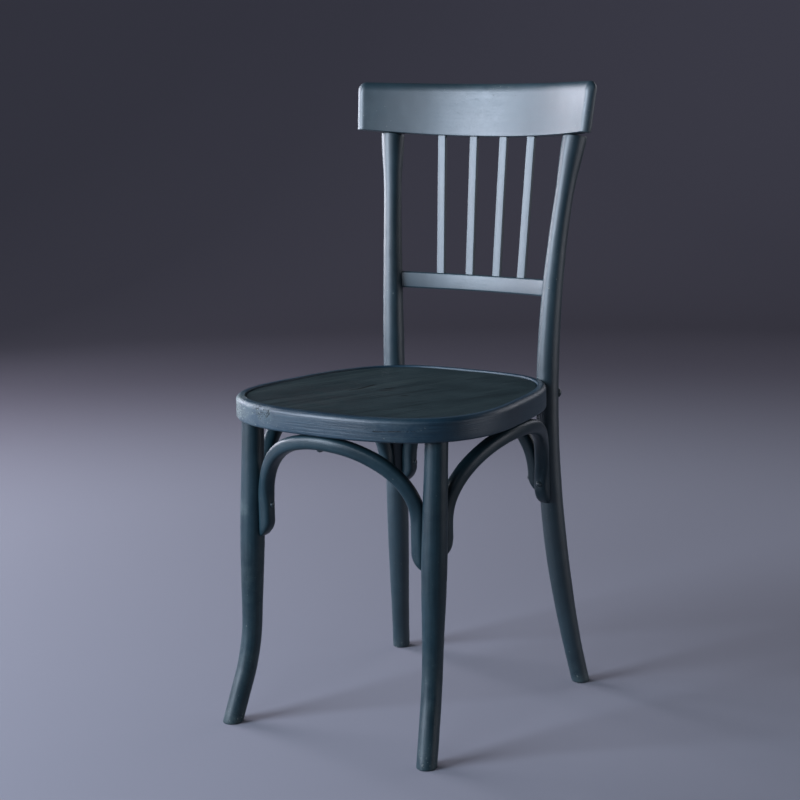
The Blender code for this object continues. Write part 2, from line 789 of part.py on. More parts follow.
def rail_sections(extra=0.0):
    """Sections of the cross rail from the left leg's housing to the right one's."""
    origin, up, back, spread = rail_frame()
    reach = spread - rear_leg_radius(RAIL_BOTTOM_HEIGHT) + RAIL_HOUSING + extra
    limit = math.asin(reach / RAIL_ARC_RADIUS)
    outline = rounded_rectangle(
        RAIL_THICKNESS / 2 + extra, RAIL_HEIGHT / 2 + extra, RAIL_EDGE_ROUND + extra)
    sections = []
    for step in range(17):
        angle = limit * (step / 8 - 1)
        across = RAIL_ARC_RADIUS * math.sin(angle)
        normal = Vector((math.sin(angle), 0.0, 0.0)) + back * math.cos(angle)
        base = origin + Vector((across, 0.0, 0.0)) + back * rail_arc(across)
        sections.append([
            base + normal * through + up * (RAIL_HEIGHT / 2 + rise) for through, rise in outline
        ])
    return sections


def make_cross_rail(root):
    """The lower rail, mortised on top for the slats."""
    maker = bmesh.new()
    add_loft(maker, rail_sections())
    rail = finish_object("back_cross_rail", maker, paint("rail_paint", BACK_PAINT), root)
    mortises = bmesh.new()
    for index in range(SLAT_COUNT):
        add_loft(mortises, slat_sections(index, GAP))
    cut(rail, "cut_rail_mortises", mortises, root)


def slat_ends(index):
    """Where a slat leaves the cross rail and where it enters the crest."""
    order = index - (SLAT_COUNT - 1) / 2
    origin, up, back, _ = rail_frame()
    low_across = order * SLAT_BOTTOM_PITCH
    low = origin + Vector((low_across, 0.0, 0.0)) + back * rail_arc(low_across)
    low += up * RAIL_HEIGHT
    high_across = order * SLAT_TOP_PITCH
    high = crest_origin() + Vector((high_across, 0.0, 0.0))
    high += crest_back() * crest_arc(high_across)
    return low, high


def slat_sections(index, extra=0.0):
    """Two sections of a slat, at the ends of its tenons."""
    low, high = slat_ends(index)
    direction = (high - low).normalized()
    across = Vector((1.0, 0.0, 0.0))
    across = (across - direction * across.dot(direction)).normalized()
    through = direction.cross(across)
    outline = rounded_rectangle(
        SLAT_WIDTH / 2 + extra, SLAT_THICKNESS / 2 + extra, SLAT_EDGE_ROUND + extra)
    start = low - direction * (SLAT_BOTTOM_TENON + extra)
    end = high + direction * (SLAT_TOP_TENON + extra)
    return [
        [place + across * wide + through * thick for wide, thick in outline]
        for place in (start, end)
    ]


def make_slat(index, root):
    """One flat slat of the back."""
    maker = bmesh.new()
    add_loft(maker, slat_sections(index))
    finish_object(f"back_slat_{index + 1}", maker, paint("slat_paint", BACK_PAINT), root)


# Braces

def leg_centre(place, height):
    """Centre of the front or rear leg named by place, at a height."""
    row, side = place
    if row == "rear":
        return rear_leg_point(side, height)[0]
    path = [pair[0] for pair in front_leg_path(side)]
    for low, high in zip(path, path[1:]):
        if height <= high.z:
            return low.lerp(high, (height - low.z) / (high.z - low.z))
    return path[-1]


def leg_radius(place, height):
    """Radius of the front or rear leg named by place, at a height."""
    if place[0] == "rear":
        return rear_leg_radius(height)
    return radius_at(height, (
        (FRONT_SHIN_HEIGHT, FRONT_SHIN_RADIUS),
        (FRONT_CALF_HEIGHT, FRONT_CALF_RADIUS),
        (SEAT_HEIGHT - RING_HEIGHT, FRONT_TOP_RADIUS),
    ))


# Name, first leg, second leg, outward bow, heights of both toes and spring height of each arch
BRACES = (
    ("front", ("front", -1.0), ("front", 1.0), BRACE_FRONT_BOW,
     (BRACE_FRONT_LEFT_TOE, BRACE_FRONT_RIGHT_TOE), BRACE_SPRING_HEIGHT),
    ("right", ("front", 1.0), ("rear", 1.0), BRACE_SIDE_BOW,
     (BRACE_RIGHT_FRONT_TOE, BRACE_RIGHT_REAR_TOE), BRACE_SPRING_HEIGHT),
    ("rear", ("rear", 1.0), ("rear", -1.0), BRACE_REAR_BOW,
     (BRACE_REAR_RIGHT_TOE, BRACE_REAR_LEFT_TOE), BRACE_REAR_SPRING_HEIGHT),
    ("left", ("rear", -1.0), ("front", -1.0), BRACE_SIDE_BOW,
     (BRACE_LEFT_REAR_TOE, BRACE_LEFT_FRONT_TOE), BRACE_SPRING_HEIGHT),
)


def brace_frame(brace):
    """Centre, direction, outward normal and half span of an arch's centre line."""
    start_place, end_place = brace[1:3]
    height = END_SCREW_HEIGHT
    start = leg_centre(start_place, height)
    end = leg_centre(end_place, height)
    start.z = end.z = 0.0
    along = (end - start).normalized()
    stand = BRACE_THICKNESS / 2 - BRACE_SADDLE
    start += along * (leg_radius(start_place, height) + stand)
    end -= along * (leg_radius(end_place, height) + stand)
    return (start + end) / 2, along, along.cross(UP), (end - start).length / 2


def half_arch(half, toe_height, spring_height):
    """One half of an arch as (place, height) pairs, from its toe up to the crown."""
    rise = SEAT_HEIGHT - RING_HEIGHT - GAP - BRACE_THICKNESS / 2 - spring_height
    power = 2.0 / BRACE_ARCH_SQUARENESS
    flat = [
        (half, toe_height + BRACE_TOE_LENGTH * share)
        for share in (0.0, 0.08, 0.3, 0.62, 1.0)
    ]
    if spring_height > flat[-1][1] + BRACE_TOE_LENGTH / 8:
        flat.append((half, spring_height))
    for step in range(1, 11):
        turn = math.pi / 2 * step / 10
        place = half * max(math.cos(turn), 0.0) ** power
        height = spring_height + rise * math.sin(turn) ** power
        if height > flat[4][1] + BRACE_TOE_LENGTH / 8:
            flat.append((place, height))
    return flat


def brace_path(brace):
    """Arch centre points from one toe to the other, each with its direction."""
    centre, along, outward, half = brace_frame(brace)
    bow, toes, spring_height = brace[3:]
    flat = [(-place, height) for place, height in half_arch(half, toes[0], spring_height)]
    flat += half_arch(half, toes[1], spring_height)[-2::-1]
    points = []
    for place, height in flat:
        swell = bow * (1 - (place / half) ** 2)
        points.append(centre + along * place + outward * swell + UP * height)
    path = []
    for index, point in enumerate(points):
        before = points[max(index - 1, 0)]
        after = points[min(index + 1, len(points) - 1)]
        path.append((point, (after - before).normalized()))
    return path


def toe_size(rise, length, smallest, full):
    """A section's size at some height above its toe, growing from the smallest to the full one."""
    gone = max(1 - rise / length, 0.0)
    fullness = BRACE_TOE_FULLNESS
    return smallest + (full - smallest) * (1 - gone ** fullness) ** (1 / fullness)


def brace_sections(brace):
    """Oval sections along an arch, thinned and narrowed at the toes."""
    middle, along, outward, half = brace_frame(brace)
    bow, spring_height = brace[3], brace[5]
    half_thick = BRACE_THICKNESS / 2
    power = 2.0 / BRACE_SQUARENESS
    path = brace_path(brace)
    sections = []
    for index, (centre, direction) in enumerate(path):
        place = (centre - middle).dot(along)
        blend = min(max((centre.z - spring_height) / BRACE_TWIST_HEIGHT, 0.0), 1.0)
        twist = -math.atan(2 * bow * place / half ** 2) * blend
        sideways = outward * math.cos(twist) - along * math.sin(twist)
        outside = sideways.cross(direction).normalized()
        toe_height = brace[4][0] if index < len(path) / 2 else brace[4][1]
        rise = max(centre.z - toe_height, 0.0)
        thick = toe_size(rise, BRACE_TOE_LENGTH, BRACE_TOE_THICKNESS, BRACE_THICKNESS)
        half_depth = toe_size(rise, BRACE_TIP_LENGTH, BRACE_TIP_DEPTH, BRACE_DEPTH) / 2
        shift = half_thick - thick / 2
        points = []
        for step in range(BRACE_SIDES):
            turn = math.tau * (step + 0.5) / BRACE_SIDES
            wide = math.copysign(abs(math.cos(turn)) ** power, math.cos(turn)) * half_depth
            high = math.copysign(abs(math.sin(turn)) ** power, math.sin(turn)) * thick / 2
            points.append(centre + sideways * wide + outside * (shift + high))
        sections.append(points)
    return sections


def brace_screws(brace):
    """Each end screw of an arch as leg place, start on the brace's inner face, direction."""
    centre, along, _, half = brace_frame(brace)
    for place, sign in ((brace[1], -1.0), (brace[2], 1.0)):
        start = centre + along * (sign * (half - BRACE_THICKNESS / 2)) + UP * END_SCREW_HEIGHT
        yield place, start, along * sign


def brace_top_point(brace):
    """Middle of an arch's underside at the ring."""
    centre, _, outward, _ = brace_frame(brace)
    low = SEAT_HEIGHT - RING_HEIGHT - GAP - BRACE_THICKNESS
    return centre + outward * brace[3] + UP * low


def brace_top_points():
    """The underside middles of all four arches."""
    return [brace_top_point(brace) for brace in BRACES]


def make_brace(brace, root):
    """One bent arch, hollowed to sit on its legs and bored for its three screws."""
    name, start_place, end_place = brace[:3]
    maker = bmesh.new()
    add_loft(maker, brace_sections(brace))
    arch = finish_object(f"brace_{name}", maker, paint("brace_paint", LEG_PAINT), root)

    saddles = bmesh.new()
    for row, side in (start_place, end_place):
        if row == "rear":
            add_loft(saddles, rear_leg_sections(side, GAP, (0.20, SEAT_HEIGHT)))
        else:
            add_loft(saddles, front_leg_sections(side, GAP))
    cut(arch, f"cut_brace_{name}_saddles", saddles, root)

    bores = bmesh.new()
    reach = BRACE_THICKNESS + 0.02
    hole = ((-0.01, SCREW_RADIUS + GAP), (reach, SCREW_RADIUS + GAP))
    for _, start, direction in brace_screws(brace):
        add_turned(bores, start, direction, hole)
    add_turned(bores, brace_top_point(brace), UP, hole)
    cut(arch, f"cut_brace_{name}_bores", bores, root)


def cut_leg_screw_bores(leg, leg_name, root):
    """Bore a leg for the end screws of the two arches that meet it."""
    row, name = leg_name.split("_")
    wanted = (row, -1.0 if name == "left" else 1.0)
    bores = bmesh.new()
    length = BRACE_THICKNESS + SCREW_BITE + GAP
    for brace in BRACES:
        for place, start, direction in brace_screws(brace):
            if place == wanted:
                bite = ((0.0, SCREW_RADIUS + GAP), (length, SCREW_RADIUS + GAP))
                add_turned(bores, start, direction, bite)
    cut(leg, f"cut_{leg_name}_screws", bores, root)


def make_screw(name, start, direction, root):
    """A slotted round-head wood screw, its head on the brace."""
    base = start - direction * GAP
    maker = bmesh.new()
    add_turned(maker, base, direction, (
        (-SCREW_HEAD_HEIGHT, SCREW_HEAD_RADIUS * 0.45),
        (-SCREW_HEAD_HEIGHT * 0.7, SCREW_HEAD_RADIUS * 0.8),
        (0.0, SCREW_HEAD_RADIUS),
        (0.0, SCREW_RADIUS),
        (BRACE_THICKNESS + SCREW_BITE * 0.6, SCREW_RADIUS),
        (BRACE_THICKNESS + SCREW_BITE, SCREW_RADIUS * 0.3),
    ))
    screw = finish_object(name, maker, paint("screw_steel", PAINTED_STEEL), root)
    slot = bmesh.new()
    across = direction.orthogonal().normalized()
    along = direction.cross(across)
    sizes = (SCREW_SLOT_WIDTH, SCREW_HEAD_RADIUS * 3, SCREW_SLOT_DEPTH * 2)
    add_block(slot, base - direction * SCREW_HEAD_HEIGHT, across, along, direction, sizes)
    cut(screw, f"cut_{name}", slot, root)


def make_brace_screws(root):
    """Two end screws and one top screw for each arch."""
    for brace in BRACES:
        for index, (_, start, direction) in enumerate(brace_screws(brace)):
            make_screw(f"brace_screw_{brace[0]}_{index + 1}", start, direction, root)
        make_screw(f"brace_screw_{brace[0]}_top", brace_top_point(brace), UP, root)


def centre_on_floor(root):
    """Move the root so that the middle of the chair's box stands over the origin."""
    bpy.context.view_layer.update()
    corners = []
    for item in bpy.data.objects:
        if item.type == "MESH" and not item.hide_render:
            corners += [item.matrix_world @ Vector(corner) for corner in item.bound_box]
    depths = [corner.y for corner in corners]
    root.location.y = -(min(depths) + max(depths)) / 2


def build_chair():
    """Model the whole chair."""
    clear_scene()
    root = bpy.data.objects.new("chair", None)
    bpy.context.collection.objects.link(root)
    make_seat_ring(root)
    make_seat_panel(root)
    for name, side in SIDES:
        make_front_leg(name, side, root)
        make_rear_leg(name, side, root)
        make_seat_bolt(name, side, root)
    make_crest_rail(root)
    make_cross_rail(root)
    for index in range(SLAT_COUNT):
        make_slat(index, root)
    for brace in BRACES:
        make_brace(brace, root)
    make_brace_screws(root)
    centre_on_floor(root)


build_chair()
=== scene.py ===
"""Looks of the painted bentwood chair: finer skins over the solids, worn paint, light and camera."""
import math

import bpy
import numpy as np
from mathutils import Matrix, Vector, noise


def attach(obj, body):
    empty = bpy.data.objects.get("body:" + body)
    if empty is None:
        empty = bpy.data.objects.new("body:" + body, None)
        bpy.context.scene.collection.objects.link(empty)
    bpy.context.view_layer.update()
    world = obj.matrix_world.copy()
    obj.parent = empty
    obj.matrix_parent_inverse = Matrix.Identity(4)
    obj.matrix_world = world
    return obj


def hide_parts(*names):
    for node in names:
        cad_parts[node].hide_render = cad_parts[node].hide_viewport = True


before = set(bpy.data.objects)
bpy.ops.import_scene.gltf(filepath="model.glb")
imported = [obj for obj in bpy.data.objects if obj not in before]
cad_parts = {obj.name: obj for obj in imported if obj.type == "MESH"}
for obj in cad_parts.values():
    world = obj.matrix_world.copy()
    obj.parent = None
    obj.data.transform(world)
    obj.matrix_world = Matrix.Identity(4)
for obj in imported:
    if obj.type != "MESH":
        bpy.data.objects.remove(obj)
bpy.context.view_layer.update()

# Sizes of the solids, in metres, are measured from the seat's middle, this far along Y in the frame
DEPTH_SHIFT = -0.03298
GAP = 0.0003
SEAT_HEIGHT, SEAT_HALF_WIDTH, SEAT_HALF_DEPTH, SEAT_TAPER = 0.460, 0.198, 0.1945, 0.15
SEAT_FRONT_SQUARENESS, SEAT_BACK_SQUARENESS = 2.6, 3.3
RING_HEIGHT, RING_WIDTH, RIM_WIDTH = 0.032, 0.038, 0.013
RING_TOP_ROUND, RING_BOTTOM_ROUND = 0.007, 0.003
RIM_EASE, RING_INNER_STEP = 0.0009, 0.012
PANEL_THICKNESS, PANEL_RECESS, PANEL_EDGE_ROUND = 0.006, 0.002, 0.0018
PANEL_TOP, PANEL_GRAIN_SLANT = SEAT_HEIGHT - PANEL_RECESS, math.radians(18.5)

# Legs: places are pairs of sideways and forward or backward, stations pairs of height and radius
FRONT_TOP, FRONT_ANKLE, FRONT_FOOT = (0.154, 0.1325), (0.1537, 0.1532), (0.1657, 0.1874)
FRONT_ANKLE_HEIGHT, FRONT_BEND_RADIUS = 0.102, 0.30
FRONT_STATIONS = ((0.0, 0.0141), (0.115, 0.0142), (0.275, 0.0175), (0.428, 0.0157))
REAR_WAIST, REAR_FOOT, REAR_TOP = (0.1342, 0.1790), (0.1625, 0.2198), (0.1572, 0.2225)
REAR_WAIST_HEIGHT, REAR_TOP_HEIGHT = 0.410, 0.800
REAR_SEAT_RADIUS = 0.0160
REAR_STATIONS = (
    (0.0, 0.0132), (0.24, 0.0166), (SEAT_HEIGHT, REAR_SEAT_RADIUS), (0.715, 0.0133),
    (REAR_TOP_HEIGHT, 0.0173))
REAR_HEAD_EASE, REAR_HEAD_RUN = 0.0012, 0.83
FOOT_CHAMFER, LEG_INTO_RING = 0.002, 0.002

CREST_HEIGHT, CREST_END_DROP, CREST_THICKNESS = 0.079, 0.0075, 0.016
CREST_HALF_LENGTH, CREST_END_SPLAY, CREST_ARC_RADIUS = 0.197, 0.085, 0.360
CREST_LEAN, CREST_FORWARD = math.radians(12.0), 0.0131
CREST_TOP_ROUND, CREST_FRONT_ROUND, CREST_BACK_ROUND = 0.015, 0.010, 0.005
CREST_BACK_SHOULDER = CREST_TOP_ROUND * 0.6
CREST_CORNER_RADIUS, CREST_ARRIS = 0.013, 0.0012
RAIL_HEIGHT, RAIL_THICKNESS, RAIL_ARC_RADIUS = 0.0245, 0.012, 0.330
RAIL_BOTTOM_HEIGHT, RAIL_LEAN, RAIL_FORWARD = 0.574, math.radians(6.0), -0.004
RAIL_EDGE_ROUND, RAIL_LEG_RADIUS, RAIL_INTO_LEG = 0.003, 0.0150, 0.006
SLAT_COUNT, SLAT_WIDTH, SLAT_THICKNESS, SLAT_EDGE_ROUND = 4, 0.0135, 0.006, 0.0012
SLAT_INTO_RAILS = 0.003
SLAT_TOP_PITCH, SLAT_BOTTOM_PITCH = 0.0515, 0.0467

BRACE_THICKNESS, BRACE_DEPTH, BRACE_SADDLE = 0.0205, 0.021, 0.0025
BRACE_ARCH_SQUARENESS, BRACE_SQUARENESS = 2.1, 2.8
BRACE_TOE_LENGTH, BRACE_TOE_THICKNESS, BRACE_TWIST_HEIGHT = 0.022, 0.003, 0.030
BRACE_TOE_FULLNESS, BRACE_TIP_LENGTH, BRACE_TIP_DEPTH = 1.5, 0.012, 0.011
BRACE_SPRING_HEIGHT = 0.312

END_SCREW_HEIGHT = 0.310
BOLT_HEIGHT, BOLT_RADIUS, BOLT_SPOTFACE, BOLT_PROJECTION = 0.437, 0.0035, 0.0008, 0.0025
BOLT_HEAD_RADIUS, BOLT_HEAD_HEIGHT, BOLT_END_CHAMFER = 0.0075, 0.0048, 0.0007
WASHER_SPOTFACE, WASHER_THICKNESS, NUT_HEIGHT = 0.0035, 0.0014, 0.0055
SCREW_RADIUS, SCREW_LENGTH = 0.0020, 0.020
SCREW_HEAD_RADIUS, SCREW_HEAD_HEIGHT = 0.0042, 0.0022
SCREW_SLOT_WIDTH, SCREW_SLOT_DEPTH = 0.0011, 0.0009

# Points around and along the skins
OUTLINE_STEPS, RING_POINTS, PANEL_POINTS, PANEL_ROWS = 6000, 720, 360, 60
LEG_SIDES, BRACE_SIDES, HEAD_SIDES = 72, 44, 40
FRONT_LEG_ROWS, REAR_LEG_ROWS = (24, 40, 86), 260
CREST_ROWS, RAIL_ROWS, SLAT_ROWS, BRACE_ROWS = 130, 110, 90, 60

# Each piece's grain starts at its own run, so that no two pieces share their marks
FRONT_LEG_RUN, REAR_LEG_RUN, RAIL_RUN, SLAT_RUN = 3.0, 7.0, 20.0, 30.0
BRACE_RUN, BRACE_RUN_STEP = 40.0, 3.0

ACROSS = np.array([1.0, 0.0, 0.0])
UP = np.array([0.0, 0.0, 1.0])
SHIFT = np.array([0.0, DEPTH_SHIFT, 0.0])


# Mesh helpers

def unit(vectors):
    """Vectors scaled to length one along their last axis."""
    return vectors / np.maximum(np.linalg.norm(vectors, axis=-1, keepdims=True), 1e-12)


def tangents(path):
    """Direction of a path at each of its points."""
    return unit(np.gradient(path, axis=0))


def lengths(path):
    """Distance along a path at each of its points."""
    steps = np.linalg.norm(np.diff(path, axis=0), axis=1)
    return np.concatenate([[0.0], np.cumsum(steps)])


def skin(name, loops, runs, material, replaced, closed=False, sharp=50.0):
    """Skin loops of points (rows, points, 3); runs hold straightened coordinates for the grain."""
    rows, count = loops.shape[:2]
    verts = loops.reshape(-1, 3) + SHIFT
    marks = runs.reshape(-1, 3)
    last = rows if closed else rows - 1
    low = (np.arange(last)[:, None] * count + np.arange(count)[None, :]).ravel()
    low_next = (np.arange(last)[:, None] * count + (np.arange(count)[None, :] + 1) % count).ravel()
    high = (low + count) % (rows * count)
    high_next = (low_next + count) % (rows * count)
    quads = np.stack([low, low_next, high_next, high], axis=1)
    faces = quads.tolist()
    if not closed:
        faces.append(list(range(count))[::-1])
        faces.append(list(range((rows - 1) * count, rows * count)))
    a, b, c, d = (verts[quads[:, column]] for column in range(4))
    volume = (np.cross(b - a, c - a) * a).sum() + (np.cross(c - a, d - a) * a).sum()
    if volume < 0:
        faces = [face[::-1] for face in faces]
    mesh = bpy.data.meshes.new(name)
    mesh.from_pydata(verts.tolist(), [], faces)
    made = bpy.data.objects.new(name, mesh)
    bpy.context.collection.objects.link(made)
    mark = mesh.attributes.new("run", "FLOAT_VECTOR", "POINT")
    mark.data.foreach_set("vector", np.ascontiguousarray(marks, dtype=np.float32).ravel())
    mesh.materials.append(material)
    mesh.shade_smooth()
    mesh.set_sharp_from_angle(angle=math.radians(sharp))
    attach(made, "root")
    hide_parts(*replaced)
    return made


def points_of(piece):
    """A piece's points and normals as arrays."""
    mesh = piece.data
    points = np.empty(len(mesh.vertices) * 3)
    normals = np.empty(len(mesh.vertices) * 3)
    mesh.vertices.foreach_get("co", points)
    mesh.vertices.foreach_get("normal", normals)
    return points.reshape(-1, 3), normals.reshape(-1, 3)


def uneven(piece, depth, size, seed):
    """Sink the surface by up to a depth, in soft hollows of a size, as planed wood under paint has."""
    points, normals = points_of(piece)
    shift = Vector((seed * 3.1, seed * 1.7, seed * 0.9))
    dents = np.array([
        noise.fractal(Vector(point) / size + shift, 0.8, 2.2, 3) for point in points.tolist()
    ])
    dents = depth * np.clip(0.5 + 0.5 * dents, 0.25, 1.0)
    points -= normals * dents[:, None]
    piece.data.vertices.foreach_set("co", points.ravel())
    piece.data.update()


def spots_at(points, spots, base):
    """Sum of soft (place in the frame, reach, strength) spots over a base value at each point."""
    total = np.full(len(points), base)
    for place, reach, strength in spots:
        apart = np.linalg.norm(points - np.array(place), axis=1) / reach
        total += strength * np.exp(-apart ** 2)
    return total


def wear(piece, spots, base=0.0, pits=()):
    """Write how worn and how pitted the paint is at each point, from soft spots."""
    points, _ = points_of(piece)
    for name, marks, start in (("wear", spots, base), ("pits", pits, 0.0)):
        mark = piece.data.attributes.new(name, "FLOAT", "POINT")
        mark.data.foreach_set("value", spots_at(points, marks, start).astype(np.float32))


def dent(piece, spots, size=0.004):
    """Press hollows into the surface from (place, reach, depth) spots, ragged at a size."""
    points, normals = points_of(piece)
    depth = spots_at(points, spots, 0.0)
    ragged = np.array([noise.noise(Vector(point) / size) for point in points.tolist()])
    points -= normals * (depth * np.clip(0.7 + 0.9 * ragged, 0.0, 1.5))[:, None]
    piece.data.vertices.foreach_set("co", points.ravel())
    piece.data.update()


def eased(low, high, share):
    """Blend two values with a level start and end."""
    share = np.clip(share, 0.0, 1.0)
    return low + (high - low) * (1.0 - np.cos(np.pi * share)) / 2.0


def radii_at(heights, stations):
    """Radius of a shaved leg at each height."""
    radii = np.full(len(heights), stations[-1][1])
    for (low, low_radius), (high, high_radius) in zip(stations[::-1][1:], stations[::-1]):
        inside = heights <= high
        radii[inside] = eased(low_radius, high_radius, (heights[inside] - low) / (high - low))
    return radii


def signed_power(values, power):
    """Values raised to a power, with their signs kept."""
    return np.sign(values) * np.abs(values) ** power


def quarter_turn(steps):
    """Angles from zero to a right angle."""
    return math.pi / 2 * np.arange(steps + 1) / steps


def circle(count):
    """Cosines and sines of evenly spaced angles around a circle."""
    turns = np.arange(count) * math.tau / count
    return np.cos(turns), np.sin(turns)


def cross_axes(direction):
    """Two axes square to a direction, the first as near to the chair's width as can be."""
    across = unit(ACROSS - direction * direction[..., :1])
    return across, np.cross(direction, across)


def tilted(lean):
    """Up and back directions of a board that leans back."""
    up = np.array([0.0, math.sin(lean), math.cos(lean)])
    back = np.array([0.0, math.cos(lean), -math.sin(lean)])
    return up, back


def rounded_rectangle(half_width, half_height, radius, steps=6):
    """Corner-rounded rectangle as across and up arrays."""
    across, up = [], []
    for quarter, (sign_x, sign_y) in enumerate(((1, 1), (-1, 1), (-1, -1), (1, -1))):
        turn = math.pi / 2 * quarter + quarter_turn(steps)
        across.append(sign_x * (half_width - radius) + radius * np.cos(turn))
        up.append(sign_y * (half_height - radius) + radius * np.sin(turn))
    return np.concatenate(across), np.concatenate(up)


# Materials

PALE_RUB, DARK_RUB = (0.110, 0.150, 0.145), (0.0150, 0.0145, 0.0160)
UNDERCOAT, CHIP_RIM = (0.200, 0.235, 0.225), (0.004, 0.010, 0.013)
# Painted shade for the hollows of pits and cracks
PAINTED_PIT_SHADE, PAINTED_CRACK_SHADE = (0.003, 0.008, 0.010), (0.002, 0.004, 0.005)

# How often brush marks and pores repeat across, through and along the grain, per metre
FINE_STROKE, PANEL_STROKE = (420.0, 420.0, 9.0), (75.0, 75.0, 4.0)
PORE_STROKE = (1500.0, 1500.0, 60.0)
CRACK_WANDER = 0.0012


class Nodes:
    """Short calls for building a node tree."""

    def __init__(self, name):
        self.material = bpy.data.materials.new(name)
        self.material.use_nodes = True
        self.tree = self.material.node_tree
        self.shader = self.tree.nodes["Principled BSDF"]

    def add(self, kind, **values):
        node = self.tree.nodes.new(kind)
        for key, value in values.items():
            setattr(node, key, value)
        return node

    def link(self, source, target):
        self.tree.links.new(source, target)

    def attribute(self, name, output):
        return self.add("ShaderNodeAttribute", attribute_name=name).outputs[output]

    def math(self, operation, first, second=None, clamp=False):
        node = self.add("ShaderNodeMath", operation=operation, use_clamp=clamp)
        for socket, value in zip(node.inputs, (first, second)):
            if value is None:
                continue
            if isinstance(value, (int, float)):
                socket.default_value = value
            else:
                self.link(value, socket)
        return node.outputs[0]

    def scaled(self, vector, scale):
        node = self.add("ShaderNodeMapping")
        self.link(vector, node.inputs["Vector"])
        node.inputs["Scale"].default_value = scale
        return node.outputs[0]

    def noise(self, vector, scale, detail, roughness, distortion=0.0, output="Fac"):
        node = self.add("ShaderNodeTexNoise")
        self.link(vector, node.inputs["Vector"])
        node.inputs["Scale"].default_value = scale
        node.inputs["Detail"].default_value = detail
        node.inputs["Roughness"].default_value = roughness
        node.inputs["Distortion"].default_value = distortion
        return node.outputs[output]

    def ramp(self, value, low, high, to_low=0.0, to_high=1.0):
        node = self.add("ShaderNodeMapRange", interpolation_type="SMOOTHSTEP")
        self.link(value, node.inputs["Value"])
        node.inputs["From Min"].default_value = low
        node.inputs["From Max"].default_value = high
        node.inputs["To Min"].default_value = to_low
        node.inputs["To Max"].default_value = to_high
        return node.outputs["Result"]

    def mix(self, factor, first, second):
        node = self.add("ShaderNodeMix", data_type="RGBA")
        self.link(factor, node.inputs["Factor"])
        for socket, value in ((node.inputs["A"], first), (node.inputs["B"], second)):
            if isinstance(value, tuple):
                socket.default_value = value + (1.0,)
            else:
                self.link(value, socket)
        return node.outputs["Result"]

    def vector(self, operation, first, second=None, output=0):
        node = self.add("ShaderNodeVectorMath", operation=operation)
        for socket, value in zip(node.inputs, (first, second)):
            if isinstance(value, tuple):
                socket.default_value = value
            elif value is not None:
                self.link(value, socket)
        return node.outputs[output]

    def line(self, place, start, end, width):
        """A mask along a straight hairline between two points."""
        span = Vector(end) - Vector(start)
        along = tuple(span.normalized())
        offset = self.vector("SUBTRACT", place, tuple(start))
        reach = self.vector("DOT_PRODUCT", offset, along, 1)
        limit = self.add("ShaderNodeClamp")
        self.link(reach, limit.inputs["Value"])
        limit.inputs["Max"].default_value = span.length
        foot = self.add("ShaderNodeVectorMath", operation="SCALE")
        foot.inputs[0].default_value = along
        self.link(limit.outputs[0], foot.inputs["Scale"])
        apart = self.vector("DISTANCE", offset, foot.outputs[0], 1)
        return self.ramp(apart, width, width * 0.25)

    def lines(self, place, lines):
        """A mask along wandering hairlines from (start, end, width) rows, or None without any."""
        if not lines:
            return None
        wander = self.noise(place, 260.0, 2.0, 0.5, output="Color")
        shaken = self.vector("ADD", place, self.vector("MULTIPLY", wander, (CRACK_WANDER,) * 3))
        shaken = self.vector("SUBTRACT", shaken, (CRACK_WANDER / 2,) * 3)
        masks = [self.line(shaken, *line) for line in lines]
        cut = masks[0]
        for mask in masks[1:]:
            cut = self.math("MAXIMUM", cut, mask)
        return cut

    def bump(self, height, distance, strength, below=None):
        node = self.add("ShaderNodeBump")
        node.inputs["Distance"].default_value = distance
        node.inputs["Strength"].default_value = strength
        self.link(height, node.inputs["Height"])
        if below is not None:
            self.link(below, node.inputs["Normal"])
        return node.outputs["Normal"]


